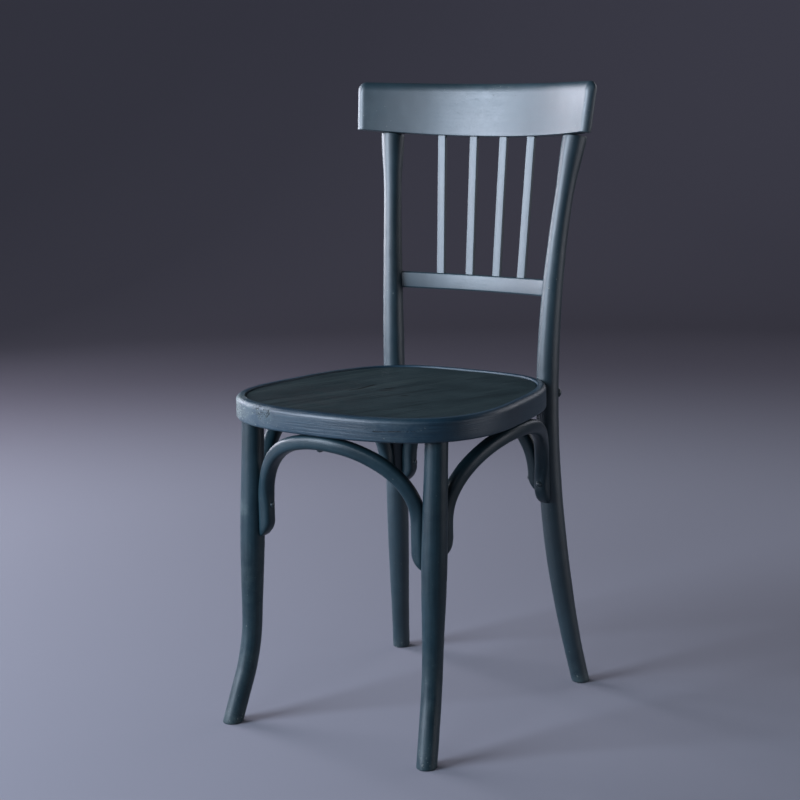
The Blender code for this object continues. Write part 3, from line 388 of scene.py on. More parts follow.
def paint(name, colour, roughness, shine, brush, grain, stroke=FINE_STROKE, streak=1.0,
          rub=PALE_RUB, chipping=0.12, lines=()):
    """Brushed paint over wood: uneven colour, brush marks along the grain, chips where worn.

    Brush and grain scale the depth of brush marks and pores, streak how much the marks show in
    colour and sheen, and chipping how readily worn paint chips.
    """
    made = Nodes(name)
    run = made.attribute("run", "Vector")
    worn = made.attribute("wear", "Fac")
    pitted = made.attribute("pits", "Fac")
    place = made.add("ShaderNodeTexCoord").outputs["Object"]

    clouds = made.noise(place, 11.0, 4.0, 0.6)
    strokes = made.noise(made.scaled(run, stroke), 1.0, 4.0, 0.7)
    pores = made.noise(made.scaled(run, PORE_STROKE), 1.0, 2.0, 0.6)
    specks = made.noise(place, 700.0, 2.0, 0.6)
    flakes = made.noise(place, 330.0, 4.0, 0.60, 0.4)
    patches = made.noise(place, 60.0, 4.0, 0.6, 0.3)

    # The colour drifts in clouds, runs thin on the ridges of brush marks and gathers between them
    dark = tuple(channel * 0.74 for channel in colour)
    light = (colour[0] * 1.5, colour[1] * 1.22, colour[2] * 1.18)
    thin = (colour[0] * 2.4, colour[1] * 1.8, colour[2] * 1.6)
    deep = tuple(channel * 0.45 for channel in colour)
    shade = made.mix(made.ramp(clouds, 0.30, 0.70), dark, light)
    shade = made.mix(made.ramp(strokes, 0.50, 0.72, 0.0, 0.55 * streak), shade, thin)
    shade = made.mix(made.ramp(strokes, 0.46, 0.28, 0.0, 0.70 * streak), shade, deep)

    # Rubbed paint goes pale and greenish
    rubbed = made.math("MULTIPLY", worn, made.ramp(patches, 0.30, 0.62), clamp=True)
    rubbed = made.math("MULTIPLY", rubbed, made.ramp(flakes, 0.30, 0.60, 0.35, 1.0))
    shade = made.mix(made.math("MULTIPLY", rubbed, 0.42, clamp=True), shade, rub)

    # Chips show the undercoat within a dark rim
    lifted = made.math("ADD", flakes, made.math("MULTIPLY", worn, chipping))
    chip = made.ramp(lifted, 0.725, 0.740)
    shade = made.mix(made.ramp(lifted, 0.695, 0.722, 0.0, 0.75), shade, CHIP_RIM)
    shade = made.mix(made.math("MULTIPLY", chip, 0.85), shade, UNDERCOAT)

    # Pits are the middles of small cells, wider where the paint is more pitted; their dark colour is
    # painted shade in the hollows
    cells = made.add("ShaderNodeTexVoronoi")
    made.link(place, cells.inputs["Vector"])
    cells.inputs["Scale"].default_value = 380.0
    bare = made.math("MULTIPLY", pitted, 0.42)
    bare = made.math("MULTIPLY", bare, made.ramp(patches, 0.40, 0.60, 0.5, 1.0))
    pit = made.ramp(made.math("SUBTRACT", cells.outputs["Distance"], bare), 0.04, -0.04)
    shade = made.mix(made.math("MULTIPLY", pit, 0.90), shade, PAINTED_PIT_SHADE)

    # Cracks and the ring's hairline are darkened along their length with painted shade
    cut = made.lines(place, lines)
    if cut is not None:
        shade = made.mix(made.math("MULTIPLY", cut, 0.95), shade, PAINTED_CRACK_SHADE)
    made.link(shade, made.shader.inputs["Base Color"])

    gloss = made.ramp(strokes, 0.25, 0.75, roughness - 0.06 * streak, roughness + 0.08 * streak)
    gloss = made.math("ADD", gloss, made.math("MULTIPLY", rubbed, 0.16))
    gloss = made.math("ADD", gloss, made.math("MULTIPLY", pit, 0.35))
    gloss = made.math("ADD", gloss, made.ramp(specks, 0.35, 0.75, -0.03, 0.05), clamp=True)
    made.link(gloss, made.shader.inputs["Roughness"])
    made.shader.inputs["Specular IOR Level"].default_value = shine

    normal = made.bump(strokes, 0.00035 * brush, 0.8)
    normal = made.bump(pores, 0.00012 * grain, 0.7, normal)
    normal = made.bump(specks, 0.00006, 0.6, normal)
    normal = made.bump(made.math("MULTIPLY", chip, -1.0), 0.00040, 0.9, normal)
    normal = made.bump(made.math("MULTIPLY", pit, -1.0), 0.00090, 1.0, normal)
    if cut is not None:
        normal = made.bump(made.math("MULTIPLY", cut, -1.0), 0.00060, 1.0, normal)
    made.link(normal, made.shader.inputs["Normal"])
    return made.material


# A long crack with its bend, two nicks beside it and one to their right, each with its width
PANEL_LINES = (
    ((-0.0565, -0.0460, PANEL_TOP), (-0.0564, -0.0103, PANEL_TOP), 0.0045),
    ((-0.0620, -0.0600, PANEL_TOP), (-0.0565, -0.0460, PANEL_TOP), 0.0028),
    ((-0.0227, -0.0280, PANEL_TOP), (-0.0180, -0.0180, PANEL_TOP), 0.0040),
    ((-0.0280, -0.0420, PANEL_TOP), (-0.0120, -0.0330, PANEL_TOP), 0.0032),
    ((0.0283, -0.0613, PANEL_TOP), (0.0310, -0.0560, PANEL_TOP), 0.0038),
)
# A hairline along the ring's front right corner
RING_LINES = (
    ((0.0923, -0.2199, 0.4425), (0.1212, -0.2115, 0.4439), 0.0007),
    ((0.1212, -0.2115, 0.4439), (0.1447, -0.2001, 0.4442), 0.0007),
)
# Copies of one teal paint, its colour set lightest on the crest, rail and slats, less light on the
# rear legs and darkest on the front legs and arches: painted light where the window light falls and
# painted shade lower down
seat_paint = paint(
    "ring_worn_paint", (0.0058, 0.0280, 0.0480), 0.40, 0.5, 1.3, 0.9, lines=RING_LINES)
panel_paint = paint(
    "panel_worn_paint", (0.0120, 0.0270, 0.0300), 0.60, 0.12, 1.6, 1.2, PANEL_STROKE, 1.4,
    DARK_RUB, 0.02, PANEL_LINES)
leg_paint = paint(
    "leg_brushed_paint", (0.0058, 0.0225, 0.0320), 0.38, 0.35, 0.7, 0.7, streak=0.7)
post_paint = paint(
    "post_brushed_paint", (0.0070, 0.0255, 0.0360), 0.43, 0.7, 0.2, 0.4, streak=0.5)
back_paint = paint(
    "back_brushed_paint", (0.0095, 0.0310, 0.0430), 0.45, 0.95, 0.06, 0.25, streak=0.3)
metal_paint = paint("painted_over_steel", (0.0070, 0.0250, 0.0350), 0.34, 0.6, 0.3, 0.0)


# Seat

def seat_outline(count):
    """Evenly spaced outline points, outward normals and distances along the outline."""
    turns = np.linspace(0.0, math.tau, OUTLINE_STEPS + 1)
    power = np.where(np.sin(turns) < 0, 2.0 / SEAT_FRONT_SQUARENESS, 2.0 / SEAT_BACK_SQUARENESS)
    along = signed_power(np.sin(turns), power)
    across = signed_power(np.cos(turns), power)
    half_width = SEAT_HALF_WIDTH * (1.0 - SEAT_TAPER * along)
    fine = np.stack([half_width * across, SEAT_HALF_DEPTH * along, 0 * along], axis=1)
    run = lengths(fine)
    wanted = np.arange(count) * run[-1] / count
    points = np.stack([np.interp(wanted, run, fine[:, axis]) for axis in range(3)], axis=1)
    chords = np.roll(points, -1, axis=0) - np.roll(points, 1, axis=0)
    return points, unit(np.cross(chords, UP)), wanted


def make_seat_ring():
    """The bent ring with a rounded outside and an eased inner rim."""
    low = SEAT_HEIGHT - RING_HEIGHT
    ledge = PANEL_TOP - PANEL_THICKNESS - GAP
    flat_low, flat_high = low + RING_BOTTOM_ROUND, SEAT_HEIGHT - RING_TOP_ROUND
    bottom, top, rim = quarter_turn(6), quarter_turn(12), quarter_turn(4)
    shares = np.array([0.25, 0.5, 0.75])
    inset = np.concatenate([
        RING_BOTTOM_ROUND * (1 - np.sin(bottom)),
        0.0 * shares,
        RING_TOP_ROUND * (1 - np.cos(top)),
        RIM_WIDTH - RIM_EASE + RIM_EASE * np.sin(rim),
        [RIM_WIDTH, RING_WIDTH, RING_WIDTH, RING_WIDTH, RING_WIDTH * 0.55],
    ])
    height = np.concatenate([
        low + RING_BOTTOM_ROUND * (1 - np.cos(bottom)),
        flat_low + (flat_high - flat_low) * shares,
        SEAT_HEIGHT - RING_TOP_ROUND * (1 - np.sin(top)),
        SEAT_HEIGHT - RIM_EASE + RIM_EASE * np.cos(rim),
        [ledge, ledge, low + RING_INNER_STEP, low, low],
    ])
    points, normals, run = seat_outline(RING_POINTS)
    loops = points[:, None, :] - normals[:, None, :] * inset[None, :, None]
    loops = loops + UP * height[None, :, None]
    runs = np.stack(np.broadcast_arrays(inset[None, :], height[None, :], run[:, None]), axis=2)
    ring = skin("seat_ring_skin", loops, runs, seat_paint, ["seat_ring"], closed=True)
    uneven(ring, 0.00035, 0.035, 1)
    dent(ring, (
        ((-0.1700, -0.1830, 0.4370), 0.0060, 0.0022),
        ((-0.1740, -0.1740, 0.4480), 0.0050, 0.0014),
        ((-0.1640, -0.1880, 0.4300), 0.0060, 0.0016),
        ((-0.1000, -0.2170, 0.4540), 0.0120, 0.0005),
        ((-0.0160, -0.2070, 0.4590), 0.0060, 0.0006),
    ))
    wear(ring, (
        ((-0.1720, -0.1800, 0.446), 0.030, 1.6),
        ((-0.1480, -0.2000, 0.448), 0.026, 1.1),
        ((-0.1050, -0.2160, 0.452), 0.024, 0.7),
        ((-0.0800, -0.2220, 0.452), 0.018, 0.5),
        ((-0.0200, -0.2060, 0.459), 0.014, 0.8),
        ((0.1200, -0.2110, 0.444), 0.040, 0.25),
        ((0.1550, 0.0600, 0.455), 0.050, 0.35),
        ((-0.1700, 0.0300, 0.455), 0.060, 0.35),
        ((0.0000, 0.1550, 0.455), 0.060, 0.30),
    ), 0.06, (
        ((-0.1000, -0.2170, 0.454), 0.016, 1.5),
        ((-0.0780, -0.2220, 0.453), 0.009, 1.2),
        ((-0.1640, -0.1880, 0.440), 0.018, 1.3),
    ))


def make_seat_panel():
    """The panel in its rebate, its grain slanting across the seat."""
    points, normals, _ = seat_outline(PANEL_POINTS)
    edge = RIM_WIDTH + GAP
    rim = points - normals * edge
    loops = [rim + UP * (PANEL_TOP - PANEL_THICKNESS)]
    for turn in quarter_turn(6):
        drop = PANEL_EDGE_ROUND * (1 - math.sin(turn))
        depth = PANEL_EDGE_ROUND * (1 - math.cos(turn))
        loops.append(points - normals * (edge + depth) + UP * (PANEL_TOP - drop))
    for share in np.linspace(0.975, 0.012, PANEL_ROWS):
        loops.append(rim * share + UP * PANEL_TOP)
    loops = np.array(loops)
    x, y, z = loops[:, :, 0], loops[:, :, 1], loops[:, :, 2]
    sine, cosine = math.sin(PANEL_GRAIN_SLANT), math.cos(PANEL_GRAIN_SLANT)
    runs = np.stack([x * cosine - y * sine, z, x * sine + y * cosine], axis=2)
    panel = skin("seat_panel_skin", loops, runs, panel_paint, ["seat_panel"])
    uneven(panel, 0.00030, 0.060, 2)
    wear(panel, (
        ((-0.1100, -0.1200, PANEL_TOP), 0.110, 0.9),
        ((-0.0300, -0.1600, PANEL_TOP), 0.070, 0.6),
        ((-0.0500, -0.0300, PANEL_TOP), 0.050, 0.5),
        ((0.0300, -0.0600, PANEL_TOP), 0.030, 0.4),
    ), 0.05)


# Legs

CREST_UP, CREST_BACK = tilted(CREST_LEAN)
CREST_ORIGIN = np.array([0.0, REAR_TOP[1], REAR_TOP_HEIGHT])


def leg_loops(path, directions, radii):
    """Round sections along a leg, and their straightened coordinates."""
    across, third = cross_axes(directions)
    cosine, sine = circle(LEG_SIDES)
    around = across[:, None, :] * cosine[:, None] + third[:, None, :] * sine[:, None]
    loops = path[:, None, :] + around * radii[:, None, None]
    runs = np.stack(np.broadcast_arrays(
        cosine * radii[:, None], sine * radii[:, None], lengths(path)[:, None]), axis=2)
    return loops, runs


def cut_loop(centre, direction, reach, along):
    """A round section and its straightened coordinates, to be slid onto a sloping cut."""
    across, third = cross_axes(direction)
    cosine, sine = circle(LEG_SIDES)
    loop = centre + (across * cosine[:, None] + third * sine[:, None]) * reach
    return loop, np.stack([reach * cosine, reach * sine, 0 * sine + along], axis=1)


def add_sole(loops, runs, path, directions, radius):
    """Put a flat, round-edged sole on the floor in place of the lowest sections."""
    soles, marks = [], []
    for turn in quarter_turn(4)[::-1]:
        height = FOOT_CHAMFER * (1 - math.sin(turn))
        reach = radius - FOOT_CHAMFER + FOOT_CHAMFER * math.cos(turn)
        loop, mark = cut_loop(path[0], directions[0], reach, height)
        loop = loop - directions[0] * ((loop[:, 2] - height) / directions[0][2])[:, None]
        soles.append(loop)
        marks.append(mark)
    keep = loops[:, :, 2].min(axis=1) > FOOT_CHAMFER + 0.001
    return np.concatenate([soles, loops[keep]]), np.concatenate([marks, runs[keep]])


def front_leg_path(side):
    """Centre points and directions of a front leg, from the foot to the seat ring."""
    top_height = SEAT_HEIGHT - RING_HEIGHT
    foot = np.array([side * FRONT_FOOT[0], -FRONT_FOOT[1], 0.0])
    ankle = np.array([side * FRONT_ANKLE[0], -FRONT_ANKLE[1], FRONT_ANKLE_HEIGHT])
    top = np.array([side * FRONT_TOP[0], -FRONT_TOP[1], top_height])
    lower, upper = unit(ankle - foot), unit(top - ankle)
    bend = math.acos(float(lower @ upper))
    reach = FRONT_BEND_RADIUS * math.tan(bend / 2)
    start, finish = ankle - lower * reach, ankle + upper * reach
    inward = unit(upper - lower * float(upper @ lower))
    foot_rows, bend_rows, shaft_rows = FRONT_LEG_ROWS
    path = [foot + (start - foot) * share for share in np.linspace(0, 1, foot_rows)[:-1]]
    for turn in np.linspace(0, bend, bend_rows):
        path.append(
            start + lower * (FRONT_BEND_RADIUS * math.sin(turn))
            + inward * (FRONT_BEND_RADIUS * (1 - math.cos(turn))))
    path += [finish + (top - finish) * share for share in np.linspace(0, 1, shaft_rows)[1:]]
    path = np.array(path)
    return path, tangents(path)


def make_front_leg(name, side):
    """A front leg, running up into the ring."""
    path, directions = front_leg_path(side)
    radii = radii_at(path[:, 2], FRONT_STATIONS)
    path = np.vstack([path, path[-1] + directions[-1] * LEG_INTO_RING])
    directions = np.vstack([directions, directions[-1:]])
    radii = np.append(radii, radii[-1])
    loops, runs = leg_loops(path, directions, radii)
    loops, runs = add_sole(loops, runs, path, directions, FRONT_STATIONS[0][1])
    runs[:, :, 2] += FRONT_LEG_RUN + side
    leg = skin(f"front_leg_{name}_skin", loops, runs, leg_paint, [f"front_leg_{name}"])
    uneven(leg, 0.00040, 0.030, 3 + side)
    spots = [((side * 0.162, -0.215, 0.0), 0.022, 1.1), ((side * 0.155, -0.19, 0.09), 0.05, 0.25)]
    if side < 0:
        spots.append(((-0.1576, -0.1901, 0.303), 0.012, 0.8))
        spots.append(((-0.1640, -0.1750, 0.200), 0.040, 0.30))
    wear(leg, spots, 0.08)


def rear_leg_points(side, heights):
    """Centres of a rear leg at heights."""
    above = heights > REAR_WAIST_HEIGHT
    end_spread = np.where(above, REAR_TOP[0], REAR_FOOT[0])
    end_back = np.where(above, REAR_TOP[1], REAR_FOOT[1])
    reach = np.where(above, REAR_TOP_HEIGHT - REAR_WAIST_HEIGHT, REAR_WAIST_HEIGHT)
    share = ((heights - REAR_WAIST_HEIGHT) / reach) ** 2
    aside = REAR_WAIST[0] + (end_spread - REAR_WAIST[0]) * share
    back = REAR_WAIST[1] + (end_back - REAR_WAIST[1]) * share
    return np.stack([side * aside, back, heights], axis=1)


def make_rear_leg(name, side):
    """A rear leg from the floor to the crest, its head cut to the crest's lean and eased."""
    heights = np.linspace(0.0, REAR_TOP_HEIGHT, REAR_LEG_ROWS)
    path = rear_leg_points(side, heights)
    directions = tangents(path)
    radii = radii_at(heights, REAR_STATIONS)
    loops, runs = leg_loops(path, directions, radii)
    loops, runs = add_sole(loops, runs, path, directions, REAR_STATIONS[0][1])
    below = ((loops - CREST_ORIGIN) @ CREST_UP).max(axis=1) < -REAR_HEAD_EASE * 1.5
    upper, slope = directions[-1], float(directions[-1] @ CREST_UP)
    tops, marks = [], []
    for turn in quarter_turn(4):
        drop = REAR_HEAD_EASE * (1 - math.sin(turn)) + GAP
        reach = radii[-1] - REAR_HEAD_EASE * (1 - math.cos(turn))
        loop, mark = cut_loop(path[-1], upper, reach, REAR_HEAD_RUN)
        loop = loop - upper * (((loop - CREST_ORIGIN) @ CREST_UP + drop) / slope)[:, None]
        tops.append(loop)
        marks.append(mark)
    loops = np.concatenate([loops[below], tops])
    runs = np.concatenate([runs[below], marks])
    runs[:, :, 2] += REAR_LEG_RUN + side
    leg = skin(f"rear_leg_{name}_skin", loops, runs, post_paint, [f"rear_leg_{name}"])
    uneven(leg, 0.00040, 0.032, 6 + side)
    wear(leg, (
        ((side * 0.1625, 0.187, 0.0), 0.022, 1.0),
        ((side * 0.150, 0.170, 0.60), 0.050, 0.25),
        ((side * 0.157, 0.200, 0.795), 0.016, 0.6),
    ), 0.08)


# Crest rail

def crest_arc(across):
    """How far back the crest's middle surface lies."""
    at_leg = math.sqrt(CREST_ARC_RADIUS ** 2 - REAR_TOP[0] ** 2)
    return np.sqrt(CREST_ARC_RADIUS ** 2 - across ** 2) - at_leg - CREST_FORWARD


def rounded(radius, inset):
    """How far a round of a radius has risen at an inset from its start."""
    return math.sqrt(radius ** 2 - max(radius - inset, 0.0) ** 2)


def crest_loop(distance, direction, inset):
    """A section of the crest at an arc position, lower and thinner by an inset near the ends."""
    height = CREST_HEIGHT - CREST_END_DROP * distance ** 2 - CREST_CORNER_RADIUS
    height += rounded(CREST_CORNER_RADIUS, inset)
    crown = -CREST_THICKNESS / 2 + CREST_FRONT_ROUND
    front = crown - rounded(CREST_FRONT_ROUND, inset)
    back = CREST_THICKNESS / 2 - CREST_BACK_ROUND + rounded(CREST_BACK_ROUND, inset)
    arris = min(CREST_ARRIS, (back - front) / 4)
    shoulder = height - CREST_BACK_SHOULDER
    foot, brow, nape = quarter_turn(4), quarter_turn(16), quarter_turn(10)[1:]
    rising, falling = np.linspace(0, 1, 12)[1:-1], np.linspace(0, 1, 8)[1:]
    through = np.concatenate([
        front + arris * (1 - np.sin(foot)),
        front + 0 * rising,
        crown + (front - crown) * np.cos(brow),
        crown + (back - crown) * np.sin(nape),
        back + 0 * falling,
        [back - arris],
    ])
    up = np.concatenate([
        arris * (1 - np.cos(foot)),
        arris + (height - CREST_TOP_ROUND - arris) * rising,
        height - CREST_TOP_ROUND * (1 - np.sin(brow)),
        height - CREST_BACK_SHOULDER * (1 - np.cos(nape)),
        shoulder + (arris - shoulder) * falling,
        [0.0],
    ])
    across = CREST_ARC_RADIUS * math.sin(direction)
    normal = ACROSS * math.sin(direction) + CREST_BACK * math.cos(direction)
    tangent = ACROSS * math.cos(direction) - CREST_BACK * math.sin(direction)
    point = CREST_ORIGIN + ACROSS * across + CREST_BACK * crest_arc(across)
    splay = up * CREST_END_SPLAY * distance
    loop = point + normal * through[:, None] + tangent * splay[:, None] + CREST_UP * up[:, None]
    run = CREST_ARC_RADIUS * direction + 0 * up
    return loop, np.stack([through, up, run], axis=1)


def make_crest_rail():
    """The curved board, its outermost sections a hair off a sharp end."""
    end_angle = math.asin(CREST_HALF_LENGTH / CREST_ARC_RADIUS)
    deepest = max(CREST_CORNER_RADIUS, CREST_FRONT_ROUND)
    insets = [deepest * (1 - math.cos(turn)) for turn in quarter_turn(16)]
    insets[0] = CREST_BACK_ROUND * 0.01
    ends = [(end_angle - inset / CREST_ARC_RADIUS, inset) for inset in insets]
    inner = np.linspace(-ends[-1][0], ends[-1][0], CREST_ROWS)[1:-1]
    stations = [(-angle, inset) for angle, inset in ends]
    stations += [(angle, insets[-1]) for angle in inner] + ends[::-1]
    loops, runs = zip(*(crest_loop(angle / end_angle, angle, inset) for angle, inset in stations))
    crest = skin(
        "crest_rail_skin", np.array(loops), np.array(runs), back_paint, ["crest_rail"])
    uneven(crest, 0.00036, 0.040, 11)
    wear(crest, (
        ((0.190, 0.165, 0.83), 0.020, 0.5),
        ((-0.190, 0.165, 0.83), 0.020, 0.5),
        ((0.0, 0.220, 0.875), 0.050, 0.3),
    ), 0.05)


# Cross rail and slats

RAIL_UP, RAIL_BACK = tilted(RAIL_LEAN)
RAIL_HALF_SPAN, RAIL_SET_BACK, _ = rear_leg_points(1.0, np.array([RAIL_BOTTOM_HEIGHT]))[0]
RAIL_ORIGIN = np.array([0.0, RAIL_SET_BACK, RAIL_BOTTOM_HEIGHT])


def rail_arc(across):
    """How far back the rail's middle surface lies."""
    at_leg = math.sqrt(RAIL_ARC_RADIUS ** 2 - RAIL_HALF_SPAN ** 2)
    return np.sqrt(RAIL_ARC_RADIUS ** 2 - across ** 2) - at_leg - RAIL_FORWARD


def make_cross_rail():
    """The lower rail between the rear legs."""
    through, rise = rounded_rectangle(RAIL_THICKNESS / 2, RAIL_HEIGHT / 2, RAIL_EDGE_ROUND)
    limit = math.asin((RAIL_HALF_SPAN - RAIL_LEG_RADIUS + RAIL_INTO_LEG) / RAIL_ARC_RADIUS)
    loops, runs = [], []
    for angle in np.linspace(-limit, limit, RAIL_ROWS):
        across = RAIL_ARC_RADIUS * math.sin(angle)
        normal = ACROSS * math.sin(angle) + RAIL_BACK * math.cos(angle)
        base = RAIL_ORIGIN + ACROSS * across + RAIL_BACK * rail_arc(across)
        height = RAIL_HEIGHT / 2 + rise
        loops.append(base + normal * through[:, None] + RAIL_UP * height[:, None])
        run = RAIL_ARC_RADIUS * angle + RAIL_RUN
        runs.append(np.stack([through, rise, 0 * rise + run], axis=1))
    rail = skin(
        "back_cross_rail_skin", np.array(loops), np.array(runs), back_paint,
        ["back_cross_rail"])
    uneven(rail, 0.00025, 0.030, 13)
    wear(rail, (((0.0, 0.17, 0.60), 0.03, 0.3),), 0.05)


def make_slat(index):
    """One flat slat."""
    order = index - (SLAT_COUNT - 1) / 2
    low_across, high_across = order * SLAT_BOTTOM_PITCH, order * SLAT_TOP_PITCH
    low = RAIL_ORIGIN + ACROSS * low_across + RAIL_BACK * rail_arc(low_across)
    low = low + RAIL_UP * RAIL_HEIGHT
    high = CREST_ORIGIN + ACROSS * high_across + CREST_BACK * crest_arc(high_across)
    direction = unit(high - low)
    across, through = cross_axes(direction)
    wide, thick = rounded_rectangle(SLAT_WIDTH / 2, SLAT_THICKNESS / 2, SLAT_EDGE_ROUND, 4)
    start, end = low - direction * SLAT_INTO_RAILS, high + direction * SLAT_INTO_RAILS
    loops, runs = [], []
    for share in np.linspace(0, 1, SLAT_ROWS):
        place = start + (end - start) * share
        loops.append(place + across * wide[:, None] + through * thick[:, None])
        runs.append(np.stack([wide, thick, 0 * wide + place[2] + SLAT_RUN + index], axis=1))
    slat = skin(
        f"back_slat_{index + 1}_skin", np.array(loops), np.array(runs), back_paint,
        [f"back_slat_{index + 1}"])
    uneven(slat, 0.00018, 0.025, 15 + index)
    wear(slat, (), 0.05)


# Braces

# Each arch's name, the row and side of its first and second leg, its bow and its toes' heights
BRACES = (
    ("front", ("front", -1.0), ("front", 1.0), 0.041, (0.2635, 0.252)),
    ("right", ("front", 1.0), ("rear", 1.0), 0.038, (0.271, 0.279)),
    ("rear", ("rear", 1.0), ("rear", -1.0), -0.006, (0.290, 0.279)),
    ("left", ("rear", -1.0), ("front", -1.0), 0.038, (0.288, 0.279)),
)


def leg_at(place, height):
    """Centre and radius of the named leg at a height."""
    row, side = place
    if row == "rear":
        heights = np.array([height])
        return rear_leg_points(side, heights)[0], radii_at(heights, REAR_STATIONS)[0]
    path, _ = front_leg_path(side)
    centre = np.array([np.interp(height, path[:, 2], path[:, axis]) for axis in range(3)])
    return centre, radii_at(np.array([height]), FRONT_STATIONS)[0]


def brace_frame(brace):
    """Centre, direction, outward normal and half span of an arch's centre line."""
    start, start_radius = leg_at(brace[1], END_SCREW_HEIGHT)
    end, end_radius = leg_at(brace[2], END_SCREW_HEIGHT)
    start[2] = end[2] = 0.0
    along = unit(end - start)
    stand = BRACE_THICKNESS / 2 - BRACE_SADDLE
    start = start + along * (start_radius + stand)
    end = end - along * (end_radius + stand)
    return (start + end) / 2, along, np.cross(along, UP), float(np.linalg.norm(end - start)) / 2


def half_arch(half, toe_height):
    """One half of an arch as (place, height) pairs, from its toe up to the crown."""
    spring = BRACE_SPRING_HEIGHT
    rise = SEAT_HEIGHT - RING_HEIGHT - GAP - BRACE_THICKNESS / 2 - spring
    power = 2.0 / BRACE_ARCH_SQUARENESS
    toe_top = toe_height + BRACE_TOE_LENGTH
    flat = [(half, toe_height + BRACE_TOE_LENGTH * (1 - math.cos(turn))) for turn in quarter_turn(14)]
    if spring > toe_top + 0.003:
        flat += [(half, toe_top + (spring - toe_top) * share) for share in (0.35, 0.7, 1.0)]
    for turn in np.linspace(0, math.pi / 2, BRACE_ROWS)[1:]:
        height = spring + rise * math.sin(turn) ** power
        if height > toe_top + 0.002:
            flat.append((half * max(math.cos(turn), 0.0) ** power, height))
    return flat


def toe_size(rise, length, smallest, full):
    """Sizes of sections at heights above their toe, growing from the smallest to the full one."""
    gone = np.clip(1 - rise / length, 0.0, 1.0)
    fullness = BRACE_TOE_FULLNESS
    return smallest + (full - smallest) * (1 - gone ** fullness) ** (1 / fullness)


def make_brace(brace):
    """One bent arch, its section twisting with the bow and thinning at the toes."""
    name, _, _, bow, toes = brace
    order = BRACES.index(brace)
    middle, along, outward, half = brace_frame(brace)
    flat = [(-place, height) for place, height in half_arch(half, toes[0])]
    flat += half_arch(half, toes[1])[-2::-1]
    flat = np.array(flat)
    swell = bow * (1 - (flat[:, 0] / half) ** 2)
    path = middle + along * flat[:, :1] + outward * swell[:, None] + UP * flat[:, 1:]
    directions = tangents(path)
    blend = np.clip((flat[:, 1] - BRACE_SPRING_HEIGHT) / BRACE_TWIST_HEIGHT, 0.0, 1.0)
    twist = -np.arctan(2 * bow * flat[:, 0] / half ** 2) * blend
    sideways = outward * np.cos(twist)[:, None] - along * np.sin(twist)[:, None]
    outside = unit(np.cross(sideways, directions))
    rise = flat[:, 1] - np.where(np.arange(len(flat)) < len(flat) / 2, toes[0], toes[1])
    thick = toe_size(rise, BRACE_TOE_LENGTH, BRACE_TOE_THICKNESS, BRACE_THICKNESS)
    depth = toe_size(rise, BRACE_TIP_LENGTH, BRACE_TIP_DEPTH, BRACE_DEPTH)
    turns = (np.arange(BRACE_SIDES) + 0.5) * math.tau / BRACE_SIDES
    wide = signed_power(np.cos(turns), 2.0 / BRACE_SQUARENESS) * depth[:, None] / 2
    high = signed_power(np.sin(turns), 2.0 / BRACE_SQUARENESS) * thick[:, None] / 2
    lift = (BRACE_THICKNESS / 2 - thick / 2)[:, None] + high
    loops = path[:, None, :] + sideways[:, None, :] * wide[:, :, None]
    loops = loops + outside[:, None, :] * lift[:, :, None]
    run = lengths(path) + BRACE_RUN + BRACE_RUN_STEP * order
    runs = np.stack(np.broadcast_arrays(wide, lift, run[:, None]), axis=2)
    arch = skin(f"brace_{name}_skin", loops, runs, leg_paint, [f"brace_{name}"])
    uneven(arch, 0.00035, 0.028, 20 + order)
    wear(arch, (), 0.08)


# Bolt and screw heads

def make_head(name, base, axis, profile, replaced, slit=0.0):
    """A turned piece from (distance, radius) pairs, with a slot across its head if one is given."""
    across = unit(np.cross(axis, UP if abs(axis[2]) < 0.9 else ACROSS))
    third = np.cross(axis, across)
    cosine, sine = circle(HEAD_SIDES)
    loops, runs = [], []
    for distance, radius in profile:
        in_slot = (np.abs(cosine * radius) < slit / 2) & (distance < -SCREW_HEAD_HEIGHT / 2)
        depth = distance + np.where(in_slot, SCREW_SLOT_DEPTH, 0.0)
        around = (across * cosine[:, None] + third * sine[:, None]) * radius
        loops.append(base + around + axis * depth[:, None])
        runs.append(np.stack([cosine * radius, sine * radius, 0 * sine + distance], axis=1))
    head = skin(name, np.array(loops), np.array(runs), metal_paint, replaced, sharp=40.0)
    wear(head, (), 0.35)


def dome(radius, height, start):
    """Profile of a domed head whose flat is at start."""
    return [(start - height * math.sin(turn), radius * math.cos(turn) ** 0.8)
            for turn in 0.96 * quarter_turn(10)[::-1]]


def make_seat_bolt(name, side):
    """The bolt's domed head on the leg and its thread end inside the ring."""
    centre = rear_leg_points(side, np.array([BOLT_HEIGHT]))[0]
    points, normals, _ = seat_outline(RING_POINTS)
    nearest = np.argmin(np.linalg.norm(points[:, :2] - centre[:2], axis=1))
    axis = -normals[nearest]
    head = BOLT_SPOTFACE - REAR_SEAT_RADIUS - GAP
    standoff = float((centre - points[nearest]) @ normals[nearest])
    seat = standoff + RING_WIDTH - WASHER_SPOTFACE + GAP
    end = seat + WASHER_THICKNESS + GAP + NUT_HEIGHT + BOLT_PROJECTION
    profile = dome(BOLT_HEAD_RADIUS, BOLT_HEAD_HEIGHT, head)
    profile += [(head, BOLT_RADIUS), (end - BOLT_END_CHAMFER, BOLT_RADIUS)]
    profile.append((end, BOLT_RADIUS - BOLT_END_CHAMFER))
    make_head(f"seat_bolt_{name}_skin", centre, axis, profile, [f"seat_bolt_{name}"])


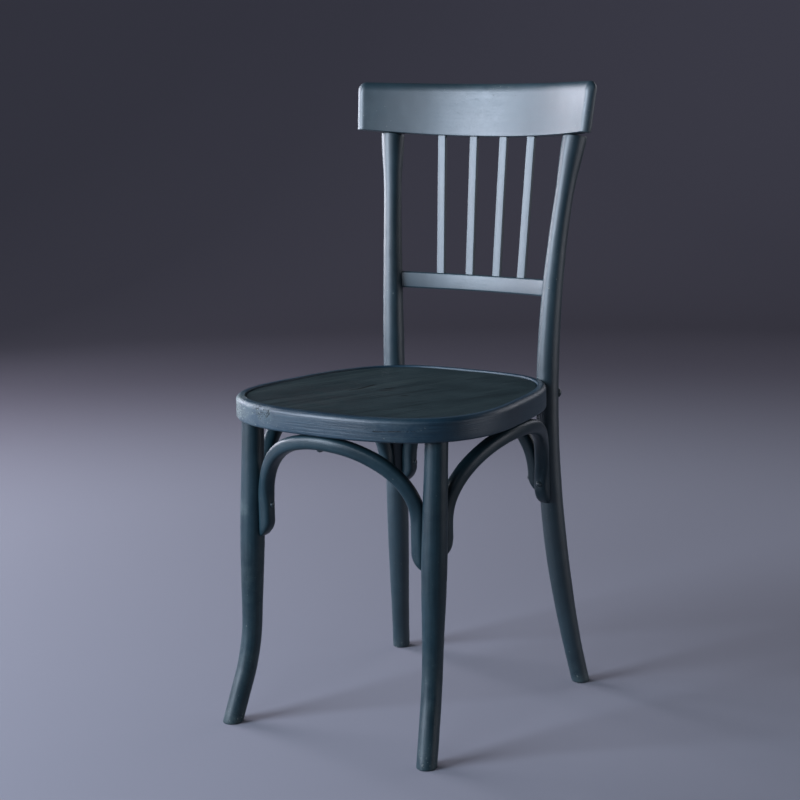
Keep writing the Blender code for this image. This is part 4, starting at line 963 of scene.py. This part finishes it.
def make_brace_screws(brace):
    """The three slotted screws of an arch."""
    middle, along, outward, half = brace_frame(brace)
    places = []
    for index, sign in (("1", -1.0), ("2", 1.0)):
        start = middle + along * (sign * (half - BRACE_THICKNESS / 2)) + UP * END_SCREW_HEIGHT
        places.append((index, start, along * sign))
    low = SEAT_HEIGHT - RING_HEIGHT - GAP - BRACE_THICKNESS
    places.append(("top", middle + outward * brace[3] + UP * low, UP))
    profile = dome(SCREW_HEAD_RADIUS, SCREW_HEAD_HEIGHT, 0.0)
    profile += [(0.0, SCREW_RADIUS), (SCREW_LENGTH, SCREW_RADIUS)]
    for index, start, axis in places:
        node, base = f"brace_screw_{brace[0]}_{index}", start - axis * GAP
        make_head(f"{node}_skin", base, axis, profile, [node], SCREW_SLOT_WIDTH)


# Floor, light and camera

COVE_FLOOR, COVE_BEND, COVE_TOP, COVE_SIDES = 3.6, 1.6, 4.6, 96
COVE_NEAR, COVE_NEAR_SHADE = 1.2, (0.215, 0.214, 0.246)
COVE_FAR, COVE_FAR_SHADE = 3.0, (0.105, 0.096, 0.116)
COVE_BOUNCE_SHADE = (0.100, 0.100, 0.112)

# Where most lights point, and their tints
AIM, LOW_AIM = (0.0, 0.0, 0.75), (0.0, 0.0, 0.40)
WARM, COOL, GREY = (0.87, 0.88, 1.0), (0.72, 0.83, 1.0), (0.88, 0.90, 1.0)


def make_cove():
    """A plain round floor that curves up into a wall, pale near the chair and dark far off."""
    profile = [(COVE_FLOOR * 0.5, 0.0)]
    for turn in quarter_turn(16):
        height = COVE_BEND * (1 - math.cos(turn))
        profile.append((COVE_FLOOR + COVE_BEND * math.sin(turn), height))
    profile.append((COVE_FLOOR + COVE_BEND, COVE_TOP))
    cosine, sine = circle(COVE_SIDES)
    verts = [(0.0, 0.0, 0.0)]
    for radius, height in profile:
        verts += [(radius * x, radius * y, height) for x, y in zip(cosine, sine)]
    faces = []
    for side in range(COVE_SIDES):
        after = (side + 1) % COVE_SIDES
        faces.append((0, 1 + side, 1 + after))
        for ring in range(len(profile) - 1):
            low, high = 1 + ring * COVE_SIDES, 1 + (ring + 1) * COVE_SIDES
            faces.append((low + side, high + side, high + after, low + after))
    mesh = bpy.data.meshes.new("cove")
    mesh.from_pydata(verts, [], faces)
    mesh.shade_smooth()
    cove = bpy.data.objects.new("cove", mesh)
    bpy.context.collection.objects.link(cove)
    made = Nodes("cove_paint")
    place = made.add("ShaderNodeTexCoord").outputs["Object"]
    away = made.ramp(made.vector("LENGTH", place, output=1), COVE_NEAR, COVE_FAR)
    shade = made.mix(away, COVE_NEAR_SHADE, COVE_FAR_SHADE)
    # What the floor throws back onto the chair is kept dim
    rays = made.add("ShaderNodeLightPath").outputs
    seen = made.math("MAXIMUM", rays["Is Camera Ray"], rays["Is Glossy Ray"])
    seen = made.math("MAXIMUM", seen, rays["Is Transmission Ray"])
    shade = made.mix(seen, COVE_BOUNCE_SHADE, shade)
    made.link(shade, made.shader.inputs["Base Color"])
    made.shader.inputs["Roughness"].default_value = 0.95
    made.shader.inputs["Specular IOR Level"].default_value = 0.05
    mesh.materials.append(made.material)


def add_area(name, place, aim, size, radiance, tint):
    """A rectangular soft light of a given brightness, hidden from the camera."""
    light = bpy.data.lights.new(name, "AREA")
    light.shape = "RECTANGLE"
    light.size, light.size_y = size
    light.energy = radiance * size[0] * size[1] * math.pi
    light.color = tint
    made = bpy.data.objects.new(name, light)
    bpy.context.collection.objects.link(made)
    made.location = place
    made.rotation_mode = "QUATERNION"
    made.rotation_quaternion = (Vector(aim) - Vector(place)).to_track_quat("-Z", "Y")
    made.visible_camera = False


def make_lights():
    """Tall soft windows at the left and front left, dim light at the right and behind, a dim room."""
    add_area("window_left_low", (-3.2, 0.1, 0.95), AIM, (1.6, 0.9), 15.0, WARM)
    add_area("window_left_high", (-3.2, 0.1, 2.0), AIM, (1.6, 1.2), 7.6, WARM)
    add_area("window_corner", (-2.8, -1.5, 0.95), AIM, (1.6, 0.9), 7.6, WARM)
    add_area("window_front_low", (-1.7, -2.7, 0.95), AIM, (1.6, 0.9), 16.0, COOL)
    add_area("window_front_high", (-1.7, -2.7, 2.0), AIM, (1.6, 1.2), 19.0, COOL)
    add_area("front_high", (0.45, -3.2, 1.9), AIM, (1.6, 1.2), 4.0, COOL)
    add_area("right_low", (2.9, 1.2, 0.55), LOW_AIM, (2.6, 1.0), 2.4, GREY)
    add_area("back_high", (0.8, 3.1, 1.7), AIM, (2.6, 1.6), 1.6, GREY)
    world = bpy.data.worlds.new("room")
    bpy.context.scene.world = world
    world.use_nodes = True
    background = world.node_tree.nodes["Background"]
    background.inputs["Color"].default_value = (0.94, 0.95, 1.0, 1.0)
    background.inputs["Strength"].default_value = 0.04


def make_camera():
    """The camera of the photo, fitted to the chair's outline."""
    eye = Vector((1.54399, -2.19053, 0.94313))
    forward = Vector((-0.57123, 0.79967, -0.18500))
    right = Vector((0.81603, 0.57754, -0.02326))
    data = bpy.data.cameras.new("camera")
    data.lens = 87.06
    data.sensor_width = 36.0
    data.shift_y = 0.00095
    data.clip_start, data.clip_end = 0.05, 200.0
    camera = bpy.data.objects.new("camera", data)
    bpy.context.collection.objects.link(camera)
    columns = (right, right.cross(forward), -forward, eye)
    matrix = camera.matrix_world.copy()
    for column, values in enumerate(columns):
        for row in range(3):
            matrix[row][column] = values[row]
    camera.matrix_world = matrix
    bpy.context.scene.camera = camera


make_camera()
make_cove()
make_lights()
make_seat_ring()
make_seat_panel()
for side_name, side_sign in (("left", -1.0), ("right", 1.0)):
    make_front_leg(side_name, side_sign)
    make_rear_leg(side_name, side_sign)
    make_seat_bolt(side_name, side_sign)
make_crest_rail()
make_cross_rail()
for slat_index in range(SLAT_COUNT):
    make_slat(slat_index)
for arch in BRACES:
    make_brace(arch)
    make_brace_screws(arch)
for node_name in ("seat_washer_left", "seat_washer_right", "seat_nut_left", "seat_nut_right"):
    for material_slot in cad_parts[node_name].material_slots:
        material_slot.material = metal_paint

bpy.context.scene.view_settings.view_transform = "Standard"
